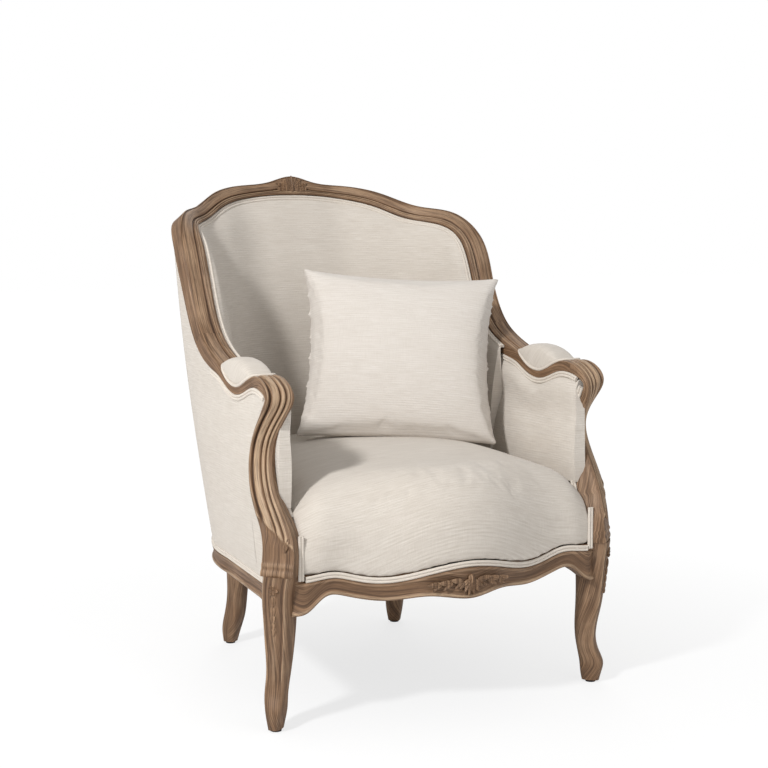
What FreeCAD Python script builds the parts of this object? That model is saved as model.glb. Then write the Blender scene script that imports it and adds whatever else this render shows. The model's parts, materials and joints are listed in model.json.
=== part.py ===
import FreeCAD, Part
import math
import os
from FreeCAD import Vector

# Bergere armchair in millimetres: +X is the sitter's left, -Y is the front, +Z is up.
# The origin is on the floor, under the middle of the chair's box.

# Heights
CREST_TOP = 999.0
ARM_TOP = 630.0
POST_FOOT = 288.0
LEG_FOOT = 4.0
RAIL_BOTTOM = 225.0
RAIL_SHOW_TOP = 255.0
RAIL_TOP = 286.0
SEAT_CROWN = 468.0

# Plan of the show wood
ARM_OUT = 350.0
ARM_WIDTH = 50.0
CREST_FRONT = 381.0
SHOULDER_OUT = 313.0
STILE_TOP_Y = 146.0
HAND_Y = -322.0
ARM_DIP = 24.0

# Plan of the seat frame
TUB_CENTRE_Y = -20.0
FRAME_HALF_WIDTH = 317.0
FRAME_BACK = 322.0
FRAME_SQUARENESS = 2.15
FRAME_FLARE = 0.085
RAIL_THICKNESS = 30.0
FRONT_RAIL_Y = -357.0
FRONT_RAIL_BOW = 61.0
FRONT_BOW_HALF = 250.0
FRONT_RAIL_THICKNESS = 32.0

# Front legs
LEG_X = 332.0
LEG_Y = -328.0
LEG_TURN = 48.0
REAR_LEG_X = 191.0
REAR_LEG_Y = 252.0
REAR_LEG_SPLAY = 20.0
REAR_LEG_SIZE = 40.0

# Moulding
REED = 3.0
TONGUE_INSET = 0.13

# Upholstery
PAD_BOTTOM = 400.0
PAD_THICKNESS = 34.0
PAD_EDGE = 12.0
BACK_CROWN = 26.0
ARM_CROWN = 8.0
INNER_HALF_WIDTH = 272.0
INNER_BACK = 250.0
INNER_SQUARENESS = 2.3
SEAT_FRONT_HALF = 306.0
SEAT_REAR_HALF = 257.0
SEAT_FALL = 58.0
CREVICE = 10.0
ARMREST_CROWN = 657.0
COVER = 5.0
DECK_THICK = 3.0
WELT = 11.0
WELT_THICK = 6.0
GAP = 0.4
EASE = 1.2

# Springs, blocks and fasteners
SPRING_WIRE = 3.6
SPRING_SPAN = 80.0
SPRING_WAVE = 20.0
SPRING_WAVES = 8
CLIP_THICK = 2.0
SCREW_SHANK = 4.2
SCREW_LENGTH = 38.0
FASTENER_PLAY = 0.15
DOWEL = 9.0
DOWEL_LENGTH = 38.0
GLIDE = 20.0

# Loose cushion: its size, the middle of where it stands, and how it turns, leans and tips
CUSHION_SIDE = 408.0
CUSHION_HEIGHT = 362.0
CUSHION_THICK = 128.0
CUSHION_EDGE = 7.0
CUSHION_DRAWN_IN = 12.0
CUSHION_MIDDLE = Vector(79, 19, 629)
CUSHION_TURN = -22.4
CUSHION_LEAN = 21.9
CUSHION_TIP = 3.3


def spline(points, **options):
    """Curve through the points."""
    curve = Part.BSplineCurve()
    curve.interpolate(Points=points, **options)
    return curve


def plan_point(angle, half_width, back, squareness):
    """Point of the tub's plan at an angle about its centre, on a rounded square."""
    depth = back - TUB_CENTRE_Y
    across = abs(math.cos(angle)) / half_width
    along = abs(math.sin(angle)) / depth
    reach = (across ** squareness + along ** squareness) ** (-1.0 / squareness)
    return Vector(reach * math.cos(angle), TUB_CENTRE_Y + reach * math.sin(angle), 0)


def loft(sections, ruled=False):
    """Closed solid through closed wires."""
    solid = Part.makeLoft(sections, True, ruled)
    return solid if solid.Volume > 0 else solid.reversed()


def polygon(points):
    return Part.makePolygon(points + points[:1])


def mirrored(shape):
    return shape.mirror(Vector(0, 0, 0), Vector(1, 0, 0))


def largest(shape):
    """The biggest solid that a cut leaves."""
    return max(shape.Solids, key=lambda solid: solid.Volume)


def outline(*curves):
    """Closed wire of curves that run end to end."""
    return Part.Wire([curve.toShape() for curve in curves])


def line(start, end):
    return Part.LineSegment(start, end)


def mix(one, two, share):
    return one + (two - one) * share


def rod(start, way, radius, length):
    """Fluted bar with sixteen sides, drawn from its start along its way."""
    way = Vector(way).normalize()
    side = way.cross(Vector(0.3, 0.9, 0.2)).normalize()
    other = way.cross(side)
    ring = []
    for step in range(16):
        turn = math.pi * step / 8
        ring.append(start + side * (radius * math.cos(turn)) + other * (radius * math.sin(turn)))
    return Part.Face(polygon(ring)).extrude(way * length)


def bore(start, way, radius, length):
    """Round cutter with the clearance of a fastener all round it."""
    way = Vector(way).normalize()
    return Part.makeCylinder(radius + FASTENER_PLAY, length + 2 * FASTENER_PLAY, start - way * FASTENER_PLAY, way)


def plate(points, low, high):
    """Flat plate of an outline between two heights."""
    return Part.Face(polygon([Vector(p.x, p.y, low) for p in points])).extrude(Vector(0, 0, high - low))


def turned_face(x, y, z, turn, width):
    """Inner and outer edge of a moulded face that looks forward and turns outward."""
    across = Vector(math.cos(math.radians(turn)), math.sin(math.radians(turn)), 0)
    middle = Vector(x, y, z)
    return middle - across * (width / 2), middle + across * (width / 2)


# Show wood: the inner and outer edge of its moulded face from the middle of the crest, over the
# shoulder, down the stile, along the arm, over the hand and down the post, with its thickness.
ARM_IN = ARM_OUT - ARM_WIDTH
ARM_LOW = ARM_TOP - ARM_DIP
CREST_MIDDLE = 0
CREST_END = 5
STILE_END = 8
ARM_END = 14
POST_END = 20
SHOW_WOOD = [
    (Vector(0, CREST_FRONT, 960), Vector(0, CREST_FRONT + 9, CREST_TOP), 34),
    (Vector(48, CREST_FRONT - 1, 959), Vector(50, CREST_FRONT + 8, CREST_TOP - 12), 34),
    (Vector(112, CREST_FRONT - 10, 952), Vector(114, CREST_FRONT - 1, 979), 34),
    (Vector(182, 329, 934), Vector(196, 343, 963), 34),
    (Vector(230, 286, 910), Vector(256, 284, 935), 35),
    (Vector(278, 218, 897), Vector(SHOULDER_OUT, 214, 920), 36),
    (Vector(296, STILE_TOP_Y, 862), Vector(344, STILE_TOP_Y - 4, 866), 36),
    (Vector(298, STILE_TOP_Y - 48, 780), Vector(346, STILE_TOP_Y - 50, 781), 34),
    (Vector(298.5, 36, 688), Vector(346, 34, 689), 30),
    (Vector(ARM_IN - 1, -36, 651), Vector(ARM_OUT - 1, -36, 652), 24),
    (Vector(ARM_IN, -84, ARM_TOP + 3), Vector(ARM_OUT, -84, ARM_TOP + 3), 17),
    (Vector(ARM_IN, -120, ARM_LOW + 8), Vector(ARM_OUT, -120, ARM_LOW + 8), 14),
    (Vector(ARM_IN, -165, ARM_LOW), Vector(ARM_OUT, -165, ARM_LOW), 14),
    (Vector(ARM_IN, -228, ARM_TOP - 2), Vector(ARM_OUT, -228, ARM_TOP - 2), 18),
    (Vector(ARM_IN + 2, -278, ARM_TOP), Vector(ARM_OUT + 2, -278, ARM_TOP), 18),
    (*turned_face(330, HAND_Y, ARM_TOP - 30, 14, 49), 12),
    (*turned_face(336, HAND_Y + 22, ARM_TOP - 68, 38, 47), 15),
    (*turned_face(342, HAND_Y + 57, 505, LEG_TURN, 46), 21),
    (*turned_face(350, -295, 424, LEG_TURN, 52), 37),
    (*turned_face(345, -341, 350, LEG_TURN, 60), 48),
    (*turned_face(350, -345, POST_FOOT, LEG_TURN, 62), 53),
]
MOULDING = [(0.0, -2), (0.1, 1), (0.24, 1), (0.34, -0.8), (0.5, 0.6), (0.78, 1), (1.0, -3)]


def show_wood_curves():
    """Splines of the inner edge, the outer edge and the thickness, over both halves."""
    keys = [(Vector(-i.x, i.y, i.z), Vector(-o.x, o.y, o.z), d) for i, o, d in SHOW_WOOD[:0:-1]]
    keys += SHOW_WOOD
    middles = [(i + o) * 0.5 for i, o, d in keys]
    reach = [0.0]
    for one, two in zip(middles, middles[1:]):
        reach.append(reach[-1] + one.distanceToPoint(two))
    half = reach[len(reach) // 2]
    reach = [value - half for value in reach]
    inner = spline([k[0] for k in keys], Parameters=reach)
    outer = spline([k[1] for k in keys], Parameters=reach)
    depth = spline([Vector(k[2], 0, r) for k, r in zip(keys, reach)], Parameters=reach)
    return inner, outer, depth, reach[len(reach) // 2:]


INNER_EDGE, OUTER_EDGE, THICKNESS, REACH = show_wood_curves()


def reach_of(place):
    """Distance along the show wood of a place counted in its named key sections."""
    side = -1 if place < 0 else 1
    index = min(int(abs(place)), len(REACH) - 2)
    share = abs(place) - index
    return side * (REACH[index] + share * (REACH[index + 1] - REACH[index]))


class Section:
    """Cross-section of the show wood: a corner, the way across its face and the way it faces."""

    def __init__(self, place):
        at = reach_of(place)
        self.inner = INNER_EDGE.value(at)
        self.outer = OUTER_EDGE.value(at)
        self.depth = THICKNESS.value(at).x
        ahead = (INNER_EDGE.value(at + 1) + OUTER_EDGE.value(at + 1)) * 0.5
        behind = (INNER_EDGE.value(at - 1) + OUTER_EDGE.value(at - 1)) * 0.5
        self.width = self.inner.distanceToPoint(self.outer)
        self.across = (self.outer - self.inner).normalize()
        self.front = (ahead - behind).cross(self.across).normalize()
        if place >= POST_END:
            self.front = Vector(self.across.y, -self.across.x, 0)

    def point(self, share, height):
        """Point at a share of the width, at a height over the face."""
        return self.inner + self.across * (share * self.width) + self.front * height

    def beside(self, distance, height):
        """Point at a distance inward of the inner edge, at a height over the face."""
        return self.inner - self.across * distance + self.front * height


def block(place, grow):
    """Plain outline round the moulded section, grown on every side."""
    cut = Section(place)
    side = grow / cut.width
    corners = [(-side, REED + grow), (1 + side, REED + grow)]
    corners += [(1 + side, -cut.depth - grow), (-side, -cut.depth - grow)]
    return polygon([cut.point(u, v) for u, v in corners])


def moulded(place, tongue=0.0):
    """Outline of the moulded section, with a tongue behind it where upholstery is tacked."""
    cut = Section(place)
    points = [cut.point(u, v * REED if v > -2 else v) for u, v in MOULDING]
    points.append(cut.point(1, -cut.depth))
    if tongue:
        points.append(cut.point(1 - TONGUE_INSET, -cut.depth))
        points.append(cut.point(1 - TONGUE_INSET, -cut.depth - tongue))
        points.append(cut.point(TONGUE_INSET, -cut.depth - tongue))
        points.append(cut.point(TONGUE_INSET, -cut.depth))
    points.append(cut.point(0, -cut.depth))
    return polygon(points)


def places(first, last, count):
    return [first + (last - first) * i / (count - 1) for i in range(count)]


def crest_rail():
    return loft([moulded(p) for p in places(-CREST_END, CREST_END, 21)])


def back_stile():
    return loft([moulded(p) for p in places(CREST_END, STILE_END, 7)])


def arm_rail():
    return loft([moulded(p, WELT) for p in places(STILE_END, ARM_END, 13)])


def arm_post():
    return loft([moulded(p) for p in places(ARM_END, 16, 7) + places(16.5, POST_END, 8)])


# Front cabriole leg: middle, width across its face and depth along the way it faces, by height.
FRONT_LEG = [
    (POST_FOOT, 0, 0, 60, 56),
    (256, -1, 9, 58, 60),
    (210, -2, 13, 54, 56),
    (159, -3, 17, 48, 50),
    (94, -3, 26, 40, 40),
    (62, 2, 23, 38, 41),
    (40, 5, 16, 33, 46),
    (20, 5, 17, 27, 41),
    (LEG_FOOT, 5, 18, 22, 34),
]
LEG_PROFILE = [
    (-0.3, -0.5), (-0.5, -0.3), (-0.5, 0.14), (-0.36, 0.36), (-0.18, 0.37), (-0.12, 0.5),
    (0.12, 0.5), (0.18, 0.37), (0.36, 0.36), (0.5, 0.14), (0.5, -0.3), (0.3, -0.5),
]


def front_leg(grow=0.0):
    """Cabriole leg set on the diagonal, with a moulded face and a toe."""
    turn = math.radians(LEG_TURN)
    across = Vector(math.cos(turn), math.sin(turn), 0)
    front = Vector(math.sin(turn), -math.cos(turn), 0)
    sections = []
    for height, dx, dy, width, depth in FRONT_LEG:
        middle = Vector(LEG_X + dx, LEG_Y + dy, height)
        width += 2 * grow
        depth += 2 * grow
        ring = [middle + across * (u * width) + front * (v * depth) for u, v in LEG_PROFILE]
        sections.append(polygon(ring))
    return loft(sections)


def rear_leg(grow=0.0):
    """Rear leg with its kick outward and back and its knob over the foot."""
    size = REAR_LEG_SIZE
    keys = [
        (RAIL_SHOW_TOP - GAP, 0, 0, size),
        (RAIL_BOTTOM, 0, 0, size),
        (150, -2, -2, size),
        (95, -1, 2, size - 2),
        (60, 2, 0.45 * REAR_LEG_SPLAY, size - 1),
        (35, 5, 0.8 * REAR_LEG_SPLAY, size - 4),
        (LEG_FOOT, 7, REAR_LEG_SPLAY, size - 14),
    ]
    sections = []
    for height, dx, dy, side in keys:
        corner = 0.28 * side
        half = side / 2 + grow
        ring = []
        for sx, sy in ((1, 1), (-1, 1), (-1, -1), (1, -1)):
            near, far = (corner, half) if sx * sy > 0 else (half, corner)
            ring.append((sx * far, sy * near))
            ring.append((sx * near, sy * far))
        turn = math.radians(-37)
        turned = []
        for a, b in ring:
            x = a * math.cos(turn) - b * math.sin(turn)
            y = a * math.sin(turn) + b * math.cos(turn)
            turned.append(Vector(REAR_LEG_X + dx + x, REAR_LEG_Y + dy + y, height))
        sections.append(polygon(turned))
    return loft(sections)


def rail_plan(way):
    """Point of the seat frame's outer line and the way outward, from the front (-1) to the back (1)."""
    if way < 0:
        run = -way * 250.0
        outward = Vector(1, FRAME_FLARE, 0).normalize()
        return Vector(FRAME_HALF_WIDTH + run * FRAME_FLARE, TUB_CENTRE_Y - run, 0), outward
    angle = min(way, 2.0) * math.pi / 2
    here = plan_point(angle, FRAME_HALF_WIDTH, FRAME_BACK, FRAME_SQUARENESS)
    after = plan_point(angle + 0.01, FRAME_HALF_WIDTH, FRAME_BACK, FRAME_SQUARENESS)
    along = (after - here).normalize()
    return here, Vector(along.y, -along.x, 0)


def ring_loft(ways, profile, ruled=False):
    """Solid along the seat frame's plan: a profile of outward distances and heights."""
    sections = []
    for way in ways:
        here, outward = rail_plan(way)
        sections.append(polygon([here + outward * out + Vector(0, 0, z) for out, z in profile(way)]))
    return loft(sections, ruled)


def rail_profile(way):
    """Moulded rail with a rebate above for the upholstery, deeper where it meets the front leg."""
    low = RAIL_BOTTOM - 22.0 * max(0.0, (-way - 0.8) / 0.4) ** 2
    show = RAIL_SHOW_TOP
    return [(-2, low), (0, low + 4), (-2, low + 9), (-2, show - 8), (0.5, show - 5), (-1, show),
            (-7, show), (-7, RAIL_TOP), (-RAIL_THICKNESS, RAIL_TOP), (-RAIL_THICKNESS, low)]


def seat_rail_side():
    rail = ring_loft(places(-1.18, 0.6, 15), rail_profile)
    return largest(rail.cut(front_leg(GAP)).cut(rear_leg(GAP)))


def seat_rail_back():
    rail = ring_loft(places(0.62, 1.38, 11), rail_profile)
    return largest(rail.cut(rear_leg(GAP)).cut(mirrored(rear_leg(GAP))))


def front_face(x):
    """How far forward the bowed front rail stands."""
    share = min(abs(x) / FRONT_BOW_HALF, 1.0)
    return FRONT_RAIL_Y - FRONT_RAIL_BOW * (1 + math.cos(math.pi * share)) / 2


FRONT_TOP = [(-320, 274), (-290, 274), (-240, 277), (-200, 268), (-150, 262), (-75, 275), (0, 285)]
FRONT_LOW = [(-320, 212), (-290, 222), (-260, 245), (-223, 244), (-144, 231), (-75, 237), (0, 229)]


def both_sides(points):
    return spline([Vector(x, 0, z) for x, z in points + [(-x, z) for x, z in points[-2::-1]]])


def height_on(curve, x):
    """Height of a front rail line at a distance from the middle."""
    low, high = curve.FirstParameter, curve.LastParameter
    for _ in range(40):
        middle = (low + high) / 2
        if curve.value(middle).x < x:
            low = middle
        else:
            high = middle
    return curve.value(low).z


RAIL_TOP_LINE = both_sides(FRONT_TOP)
RAIL_LOW_LINE = both_sides(FRONT_LOW)


def seat_rail_front():
    """Serpentine front rail, swelling at its carved middle."""
    sections = []
    for x in places(-318, 318, 31):
        face = front_face(x) - 4.0 * math.exp(-(x / 60.0) ** 2)
        low = height_on(RAIL_LOW_LINE, x)
        top = height_on(RAIL_TOP_LINE, x)
        back = front_face(x) + FRONT_RAIL_THICKNESS
        rebate = front_face(x) + 8
        ring = [(face + 3, low), (face, low + 4), (face + 2, low + 9), (face + 2, top - 9),
                (face - 0.5, top - 5), (face + 1, top), (rebate, top), (rebate, RAIL_TOP + 0.5),
                (back, RAIL_TOP + 0.5), (back, low)]
        sections.append(polygon([Vector(x, y, z) for y, z in ring]))
    rail = loft(sections)
    return largest(rail.cut(front_leg(GAP)).cut(mirrored(front_leg(GAP))))


def arm_post_envelope(grow, first=ARM_END + 0.2):
    """Plain block round the post, from a place of its hand down to its foot."""
    return loft([block(p, grow) for p in places(first, 16, 7) + places(16.5, POST_END, 8)], True)


def tub_angle(point):
    return math.atan2(point.y - TUB_CENTRE_Y, abs(point.x))


def outside_rib(place):
    """Closed rib of the outer cover, from the back of the show wood down to the seat rail."""
    cut = Section(place)
    side = -1 if place < 0 else 1
    guess = cut.point(0.98, -cut.depth)
    angle = tub_angle(guess)
    way = angle / (math.pi / 2) if angle > 0 else (guess.y - TUB_CENTRE_Y) / 250.0
    here, outward = rail_plan(way)
    radial = Vector(math.cos(angle), math.sin(angle), 0) if angle > 0 else Vector(1, 0, 0)
    if side < 0:
        here.x, outward.x, radial.x = -here.x, -outward.x, -radial.x
    rise = min(1.0, max(0.0, (6.2 - abs(place)) / 2.5))
    stand = COVER * max(0.0, -radial.dot(cut.front))
    top = cut.point(0.98 - 0.45 * rise, -cut.depth - 2 * EASE - stand)
    foot = here - outward * 1.0 + Vector(0, 0, RAIL_SHOW_TOP + WELT + 3 * GAP)
    swell = 7.0 + 9.0 * rise
    outer = [mix(top, foot, t) + radial * (swell * math.sin(math.pi * t)) for t in (0, 0.2, 0.5, 0.8, 1)]
    inner = [point - radial * COVER for point in reversed(outer)]
    return outline(spline(outer), line(outer[-1], inner[0]), spline(inner), line(inner[-1], outer[0]))


SEAM = 4.4


def outside_arm():
    """Cover of the outer arm, from the post round to the seam behind the shoulder."""
    cover = loft([outside_rib(p) for p in [14.3, 13.6, 13, 12.3, 11.5, 10.8, 10, 9.6, 9.2, 8.9, 8.6,
                                           8.3, 8, 7.5, 7, 6.5, 6, 5.6, 5.2, 4.8, SEAM]])
    return largest(cover.cut(arm_rail()).cut(arm_post_envelope(2 * EASE)).cut(front_leg(GAP)))


def outside_back():
    return loft([outside_rib(p) for p in places(-SEAM + 0.006, SEAM - 0.006, 19)])


def inner_plan(angle, outward=0.0):
    point = plan_point(angle, INNER_HALF_WIDTH, INNER_BACK, INNER_SQUARENESS)
    return point + Vector(math.cos(angle), math.sin(angle), 0) * outward


def inside_rib(place):
    """Closed rib of the inside back: a padded front, tucked beside the show wood's welt."""
    cut = Section(place)
    front = cut.beside(WELT + 2 * EASE, -7)
    angle = math.atan2(front.y - TUB_CENTRE_Y, front.x)
    radial = Vector(math.cos(angle), math.sin(angle), 0)
    away = (radial * (-cut.front.dot(radial)) + Vector(0, 0, -cut.front.z)).normalize()
    front = front - cut.across * (PAD_EDGE * max(0.0, away.dot(cut.across)))
    back = front + away * PAD_EDGE
    low_front = inner_plan(angle) + Vector(0, 0, PAD_BOTTOM)
    low_back = inner_plan(angle, PAD_THICKNESS) + Vector(0, 0, PAD_BOTTOM)
    crown = BACK_CROWN * math.sin(math.pi / 2 * min(1.0, (10.5 - abs(place)) / 5.0))
    padded = [(0, 0), (0.12, 0.55), (0.3, 0.9), (0.6, 1.0), (0.85, 0.6), (1, 0)]
    face = [mix(front, low_front, t) - radial * (crown * c) for t, c in padded]
    rear = [mix(low_back, back, t) for t in (0, 0.35, 0.7, 1)]
    return outline(spline(face), line(face[-1], rear[0]), spline(rear), line(rear[-1], face[0]))


INSIDE_END = 9.0


def inside_back():
    return loft([inside_rib(p) for p in places(-INSIDE_END, INSIDE_END, 29)])


def inside_arm_foot(y):
    """Half width between the lower edges of the inner arms, opening toward the front."""
    return INNER_HALF_WIDTH + 3 + 28.0 * (y + 42) / (HAND_Y + 42)


def inside_arm():
    """Padded inner arm between the inside back and the post, under the arm rail."""
    rear_y = Section(INSIDE_END).inner.y - 6
    sections = []
    for y in places(rear_y, HAND_Y + 22, 8):
        share = (y - rear_y) / (HAND_Y - rear_y)
        crown = ARM_CROWN * (0.4 + 0.6 * math.sin(math.pi * min(1.0, share + 0.15)))
        low = inside_arm_foot(y)
        face = [Vector(ARM_IN + 1, y, ARM_TOP + 6), Vector(ARM_IN - crown, y, ARM_TOP - 60),
                Vector((low + ARM_IN) / 2 - crown, y, 500), Vector(low, y, PAD_BOTTOM)]
        back = [Vector(low + 26, y, PAD_BOTTOM), Vector(ARM_IN + 24, y, ARM_TOP + 6)]
        sections.append(outline(spline(face), line(face[-1], back[0]), line(*back), line(back[1], face[0])))
    over = []
    for place in places(8.3, 14.2, 14):
        cut = Section(place)
        lift = cut.depth + WELT + 2 * EASE
        over.append(polygon([cut.point(u, v) for u, v in ((-0.9, 90), (0.9, 90), (0.9, -lift), (-0.9, -lift))]))
    pad = loft(sections).cut(loft(over, True))
    pad = pad.cut(arm_post_envelope(2 * EASE))
    return largest(pad.cut(arm_post_envelope(WELT + 2 * EASE + GAP, 15.6)))


def seat_section(share, shrink=0.0):
    """Upright slice of the crowned seat at a share of its half width."""
    front = Vector(share * SEAT_FRONT_HALF, front_face(share * SEAT_FRONT_HALF) + 1 + shrink, 0)
    spread = (abs(share) * SEAT_REAR_HALF / (INNER_HALF_WIDTH - CREVICE)) ** INNER_SQUARENESS
    reach = (INNER_BACK - CREVICE - TUB_CENTRE_Y) * (1 - spread) ** (1 / INNER_SQUARENESS)
    rear = Vector(share * SEAT_REAR_HALF, TUB_CENTRE_Y + reach - shrink, 0)
    crown = SEAT_CROWN - SEAT_FALL * abs(share) ** 3.2 - shrink
    foot = height_on(RAIL_TOP_LINE, front.x) + WELT + EASE + GAP + 3.0 * share * share
    rise = crown - foot
    length = front.distanceToPoint(rear)
    along = (rear - front).normalize()

    def at(distance, z):
        return front + along * distance + Vector(0, 0, z)

    top = [at(0, foot), at(-5, foot + 0.3 * rise), at(3, foot + 0.62 * rise), at(26, crown - 0.16 * rise),
           at(0.16 * length, crown - 0.04 * rise), at(0.42 * length, crown), at(0.68 * length, crown - 2),
           at(0.88 * length, crown - 12), at(length - 7, crown - 28), at(length, crown - 60)]
    base = RAIL_TOP + SPRING_WIRE + DECK_THICK + 3 * GAP
    under = [at(length, base), at(6.5, base), at(6.5, foot)]
    return polygon(top + under)


def seat_core():
    """Firm core of the seat inside its wadding and cover."""
    sections = []
    for share in (-0.86, -0.4, 0, 0.4, 0.86):
        x = share * SEAT_REAR_HALF
        rear = TUB_CENTRE_Y + (INNER_BACK - 45 - TUB_CENTRE_Y) * (1 - abs(share) ** 2.6) ** 0.4
        low = RAIL_TOP + SPRING_WIRE + DECK_THICK + 3 * GAP
        top = SEAT_CROWN - 40 - SEAT_FALL * abs(share) ** 3
        front = front_face(x) + 30
        ring = [(front, low), (front, top - 55), (front + 50, top), (rear - 60, top - 6), (rear, top - 40),
                (rear, low)]
        sections.append(polygon([Vector(x, y, z) for y, z in ring]))
    return loft(sections, True)


def seat_cover():
    """Crowned seat round its core, its front corners trimmed along the inner side of the posts."""
    half = (0.24, 0.47, 0.61, 0.74, 0.86, 0.94, 1)
    body = loft([seat_section(s) for s in [-h for h in reversed(half)] + [0] + list(half)])
    post = Vector(LEG_X, LEG_Y, 0)
    corner = plate([post + Vector(0, -53, 0), post + Vector(-49, -9, 0), post + Vector(-32, 38, 0),
                    post + Vector(88, -53, 0)], RAIL_SHOW_TOP, SEAT_CROWN)
    body = body.cut(corner).cut(mirrored(corner))
    core = seat_core()
    room = core.scaled(1.006, Vector(0, core.CenterOfMass.y, core.BoundBox.ZMin))
    return largest(body.cut(room))


ARMREST_TOP = [(-68, -12), (-110, -2), (-158, 0), (-205, -9), (-242, -25)]


def armrest_pad():
    """Saddle pad that fills the dip of the arm rail, fitted over its moulding."""
    middle = (ARM_IN + ARM_OUT) / 2
    half = ARM_WIDTH / 2
    top_line = spline([Vector(0, y, ARMREST_CROWN + z) for y, z in ARMREST_TOP])
    sections = []
    for share in places(top_line.FirstParameter, top_line.LastParameter, 11):
        top = top_line.value(share)
        low = ARM_LOW - 10
        ring = [(-half + 4, low), (half - 4, low), (half - 2, top.z - 15), (half - 8, top.z - 5), (0, top.z),
                (-half + 8, top.z - 5), (-half + 2, top.z - 15)]
        sections.append(polygon([Vector(middle + x, top.y, z) for x, z in ring]))
    rail = loft([block(p, GAP) for p in places(9, 14, 16)], True)
    return largest(loft(sections).cut(rail))


def welt_ring(corner, across, out):
    """Outline of a double welt: two rounds side by side, drawn with few edges."""
    half = WELT / 2
    shape = [(0, 0), (WELT, 0), (WELT, 0.6), (0.75 * WELT, 1), (half, 0.7), (0.25 * WELT, 1), (0, 0.6)]
    return polygon([corner + across * a + out * (WELT_THICK * b) for a, b in shape])


def back_welt():
    """Double welt between the inside back and the show wood."""
    sections = []
    for place in places(-INSIDE_END, INSIDE_END, 33):
        cut = Section(place)
        sections.append(welt_ring(cut.beside(2 * GAP, -11), cut.across * -1, cut.front))
    return loft(sections, True)


def front_welt():
    sections = []
    for x in places(-300, 300, 25):
        corner = Vector(x, front_face(x) + WELT_THICK + GAP, height_on(RAIL_TOP_LINE, x) + 2 * GAP)
        sections.append(welt_ring(corner, Vector(0, 0, 1), Vector(0, -1, 0)))
    band = loft(sections, True)
    for cutter in (arm_post_envelope(GAP), front_leg(GAP)):
        band = largest(band.cut(cutter))
        band = largest(band.cut(mirrored(cutter)))
    return band


def outside_welt():
    """Double welt along the top of the side and back rails."""
    low = RAIL_SHOW_TOP + GAP
    half = WELT / 2

    def profile(way):
        return [(-4.6, low), (0, low), (1, low + 0.25 * WELT), (-0.5, low + half),
                (1, low + 0.75 * WELT), (0, low + WELT), (-4.6, low + WELT)]

    ways = places(-1.06, 1, 27)
    sections = []
    for way, side in [(w, -1) for w in ways[:-1]] + [(w, 1) for w in reversed(ways)]:
        here, outward = rail_plan(way)
        ring = [here + outward * out + Vector(0, 0, z) for out, z in profile(way)]
        sections.append(polygon([Vector(side * p.x, p.y, p.z) for p in ring]))
    return loft(sections, True)


def arm_welt(first, last, count):
    """Double welt under the inner edge of the arm rail, or behind the inner edge of the post."""
    sections = []
    for place in places(first, last, count):
        cut = Section(place)
        corner = cut.point(0, -cut.depth - 2 * GAP) + cut.across * 3
        sections.append(welt_ring(corner, cut.front * -1, cut.across * -1))
    return loft(sections, True)


def upright():
    """Inner post that carries the crest rail, standing on the seat rails over the back leg."""
    low, outward = rail_plan(0.6)
    low = low - outward * 20 + Vector(0, 0, RAIL_TOP + GAP)
    cut = Section(2.75)
    top = cut.beside(-8, -27.5)
    along = Vector(-outward.y, outward.x, 0)
    sections = []
    for centre, wide, deep in ((low, 36, 24), (mix(low, top, 0.5), 32, 22), (top, 28, 13)):
        a = along * (wide / 2)
        b = outward * (deep / 2)
        sections.append(polygon([centre + a + b, centre - a + b, centre - a - b, centre + a - b]))
    crest = loft([block(p, GAP) for p in places(1.5, 4, 11)], True)
    return largest(loft(sections, True).cut(crest))


def side_stay():
    """Slanted stay from the side rail up to the back end of the arm rail."""
    cut = Section(9.55)
    top = cut.point(0.72, -cut.depth - 12 - 4)
    low, outward = rail_plan(-0.15)
    low = low - outward * 17 + Vector(0, 0, RAIL_TOP + GAP)
    low.y = top.y
    sections = []
    for centre in (low, top):
        ring = ((7, 16), (-7, 16), (-7, -16), (7, -16))
        sections.append(polygon([centre + Vector(x, y, 0) for x, y in ring]))
    return loft(sections, True)


def arm_tack_rail():
    """Slat behind the lower edge of the inner arm, from the stay to the post."""
    ends = []
    for y in (Section(9.55).inner.y - 16 - GAP, HAND_Y + 24):
        x = inside_arm_foot(y) + 26 + 2
        ring = ((x, PAD_BOTTOM - 14), (x + 12, PAD_BOTTOM - 14), (x + 12, PAD_BOTTOM + 16), (x, PAD_BOTTOM + 16))
        ends.append(polygon([Vector(a, y, z) for a, z in ring]))
    return largest(loft(ends, True).cut(arm_post_envelope(GAP)))


def back_band(near, far, low, high, first, last, lean=0.0):
    """Curved band behind the inside back between two angles."""
    sections = []
    for angle in places(math.radians(first), math.radians(last), 9):
        radial = Vector(math.cos(angle), math.sin(angle), 0)
        inside = inner_plan(angle, PAD_THICKNESS + near)
        outside = inner_plan(angle, PAD_THICKNESS + far)
        rise = radial * (lean * (high - low))
        ring = [inside + Vector(0, 0, low), outside + Vector(0, 0, low),
                outside + rise + Vector(0, 0, high), inside + rise + Vector(0, 0, high)]
        sections.append(polygon(ring))
    return loft(sections)


def back_tack_rail():
    return back_band(4, 16, PAD_BOTTOM - 14, PAD_BOTTOM + 16, 63.5, 116.5)


def rail_ring(inset, first, last, count):
    """Points of the seat frame's plan set in by a distance, from one side round to the other."""
    points = []
    for way in places(first, last, count):
        here, outward = rail_plan(way)
        points.append(here - outward * inset)
    return points


def frame_outline(inset, front_inset):
    """Outline inside the whole seat frame."""
    half = rail_ring(inset, -1.1, 1, 12)
    other = [Vector(-p.x, p.y, 0) for p in reversed(half[:-1])]
    front = []
    for x in places(-292, 292, 11):
        front.append(Vector(x, front_face(x) + front_inset, 0))
    return half + other + front


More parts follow.
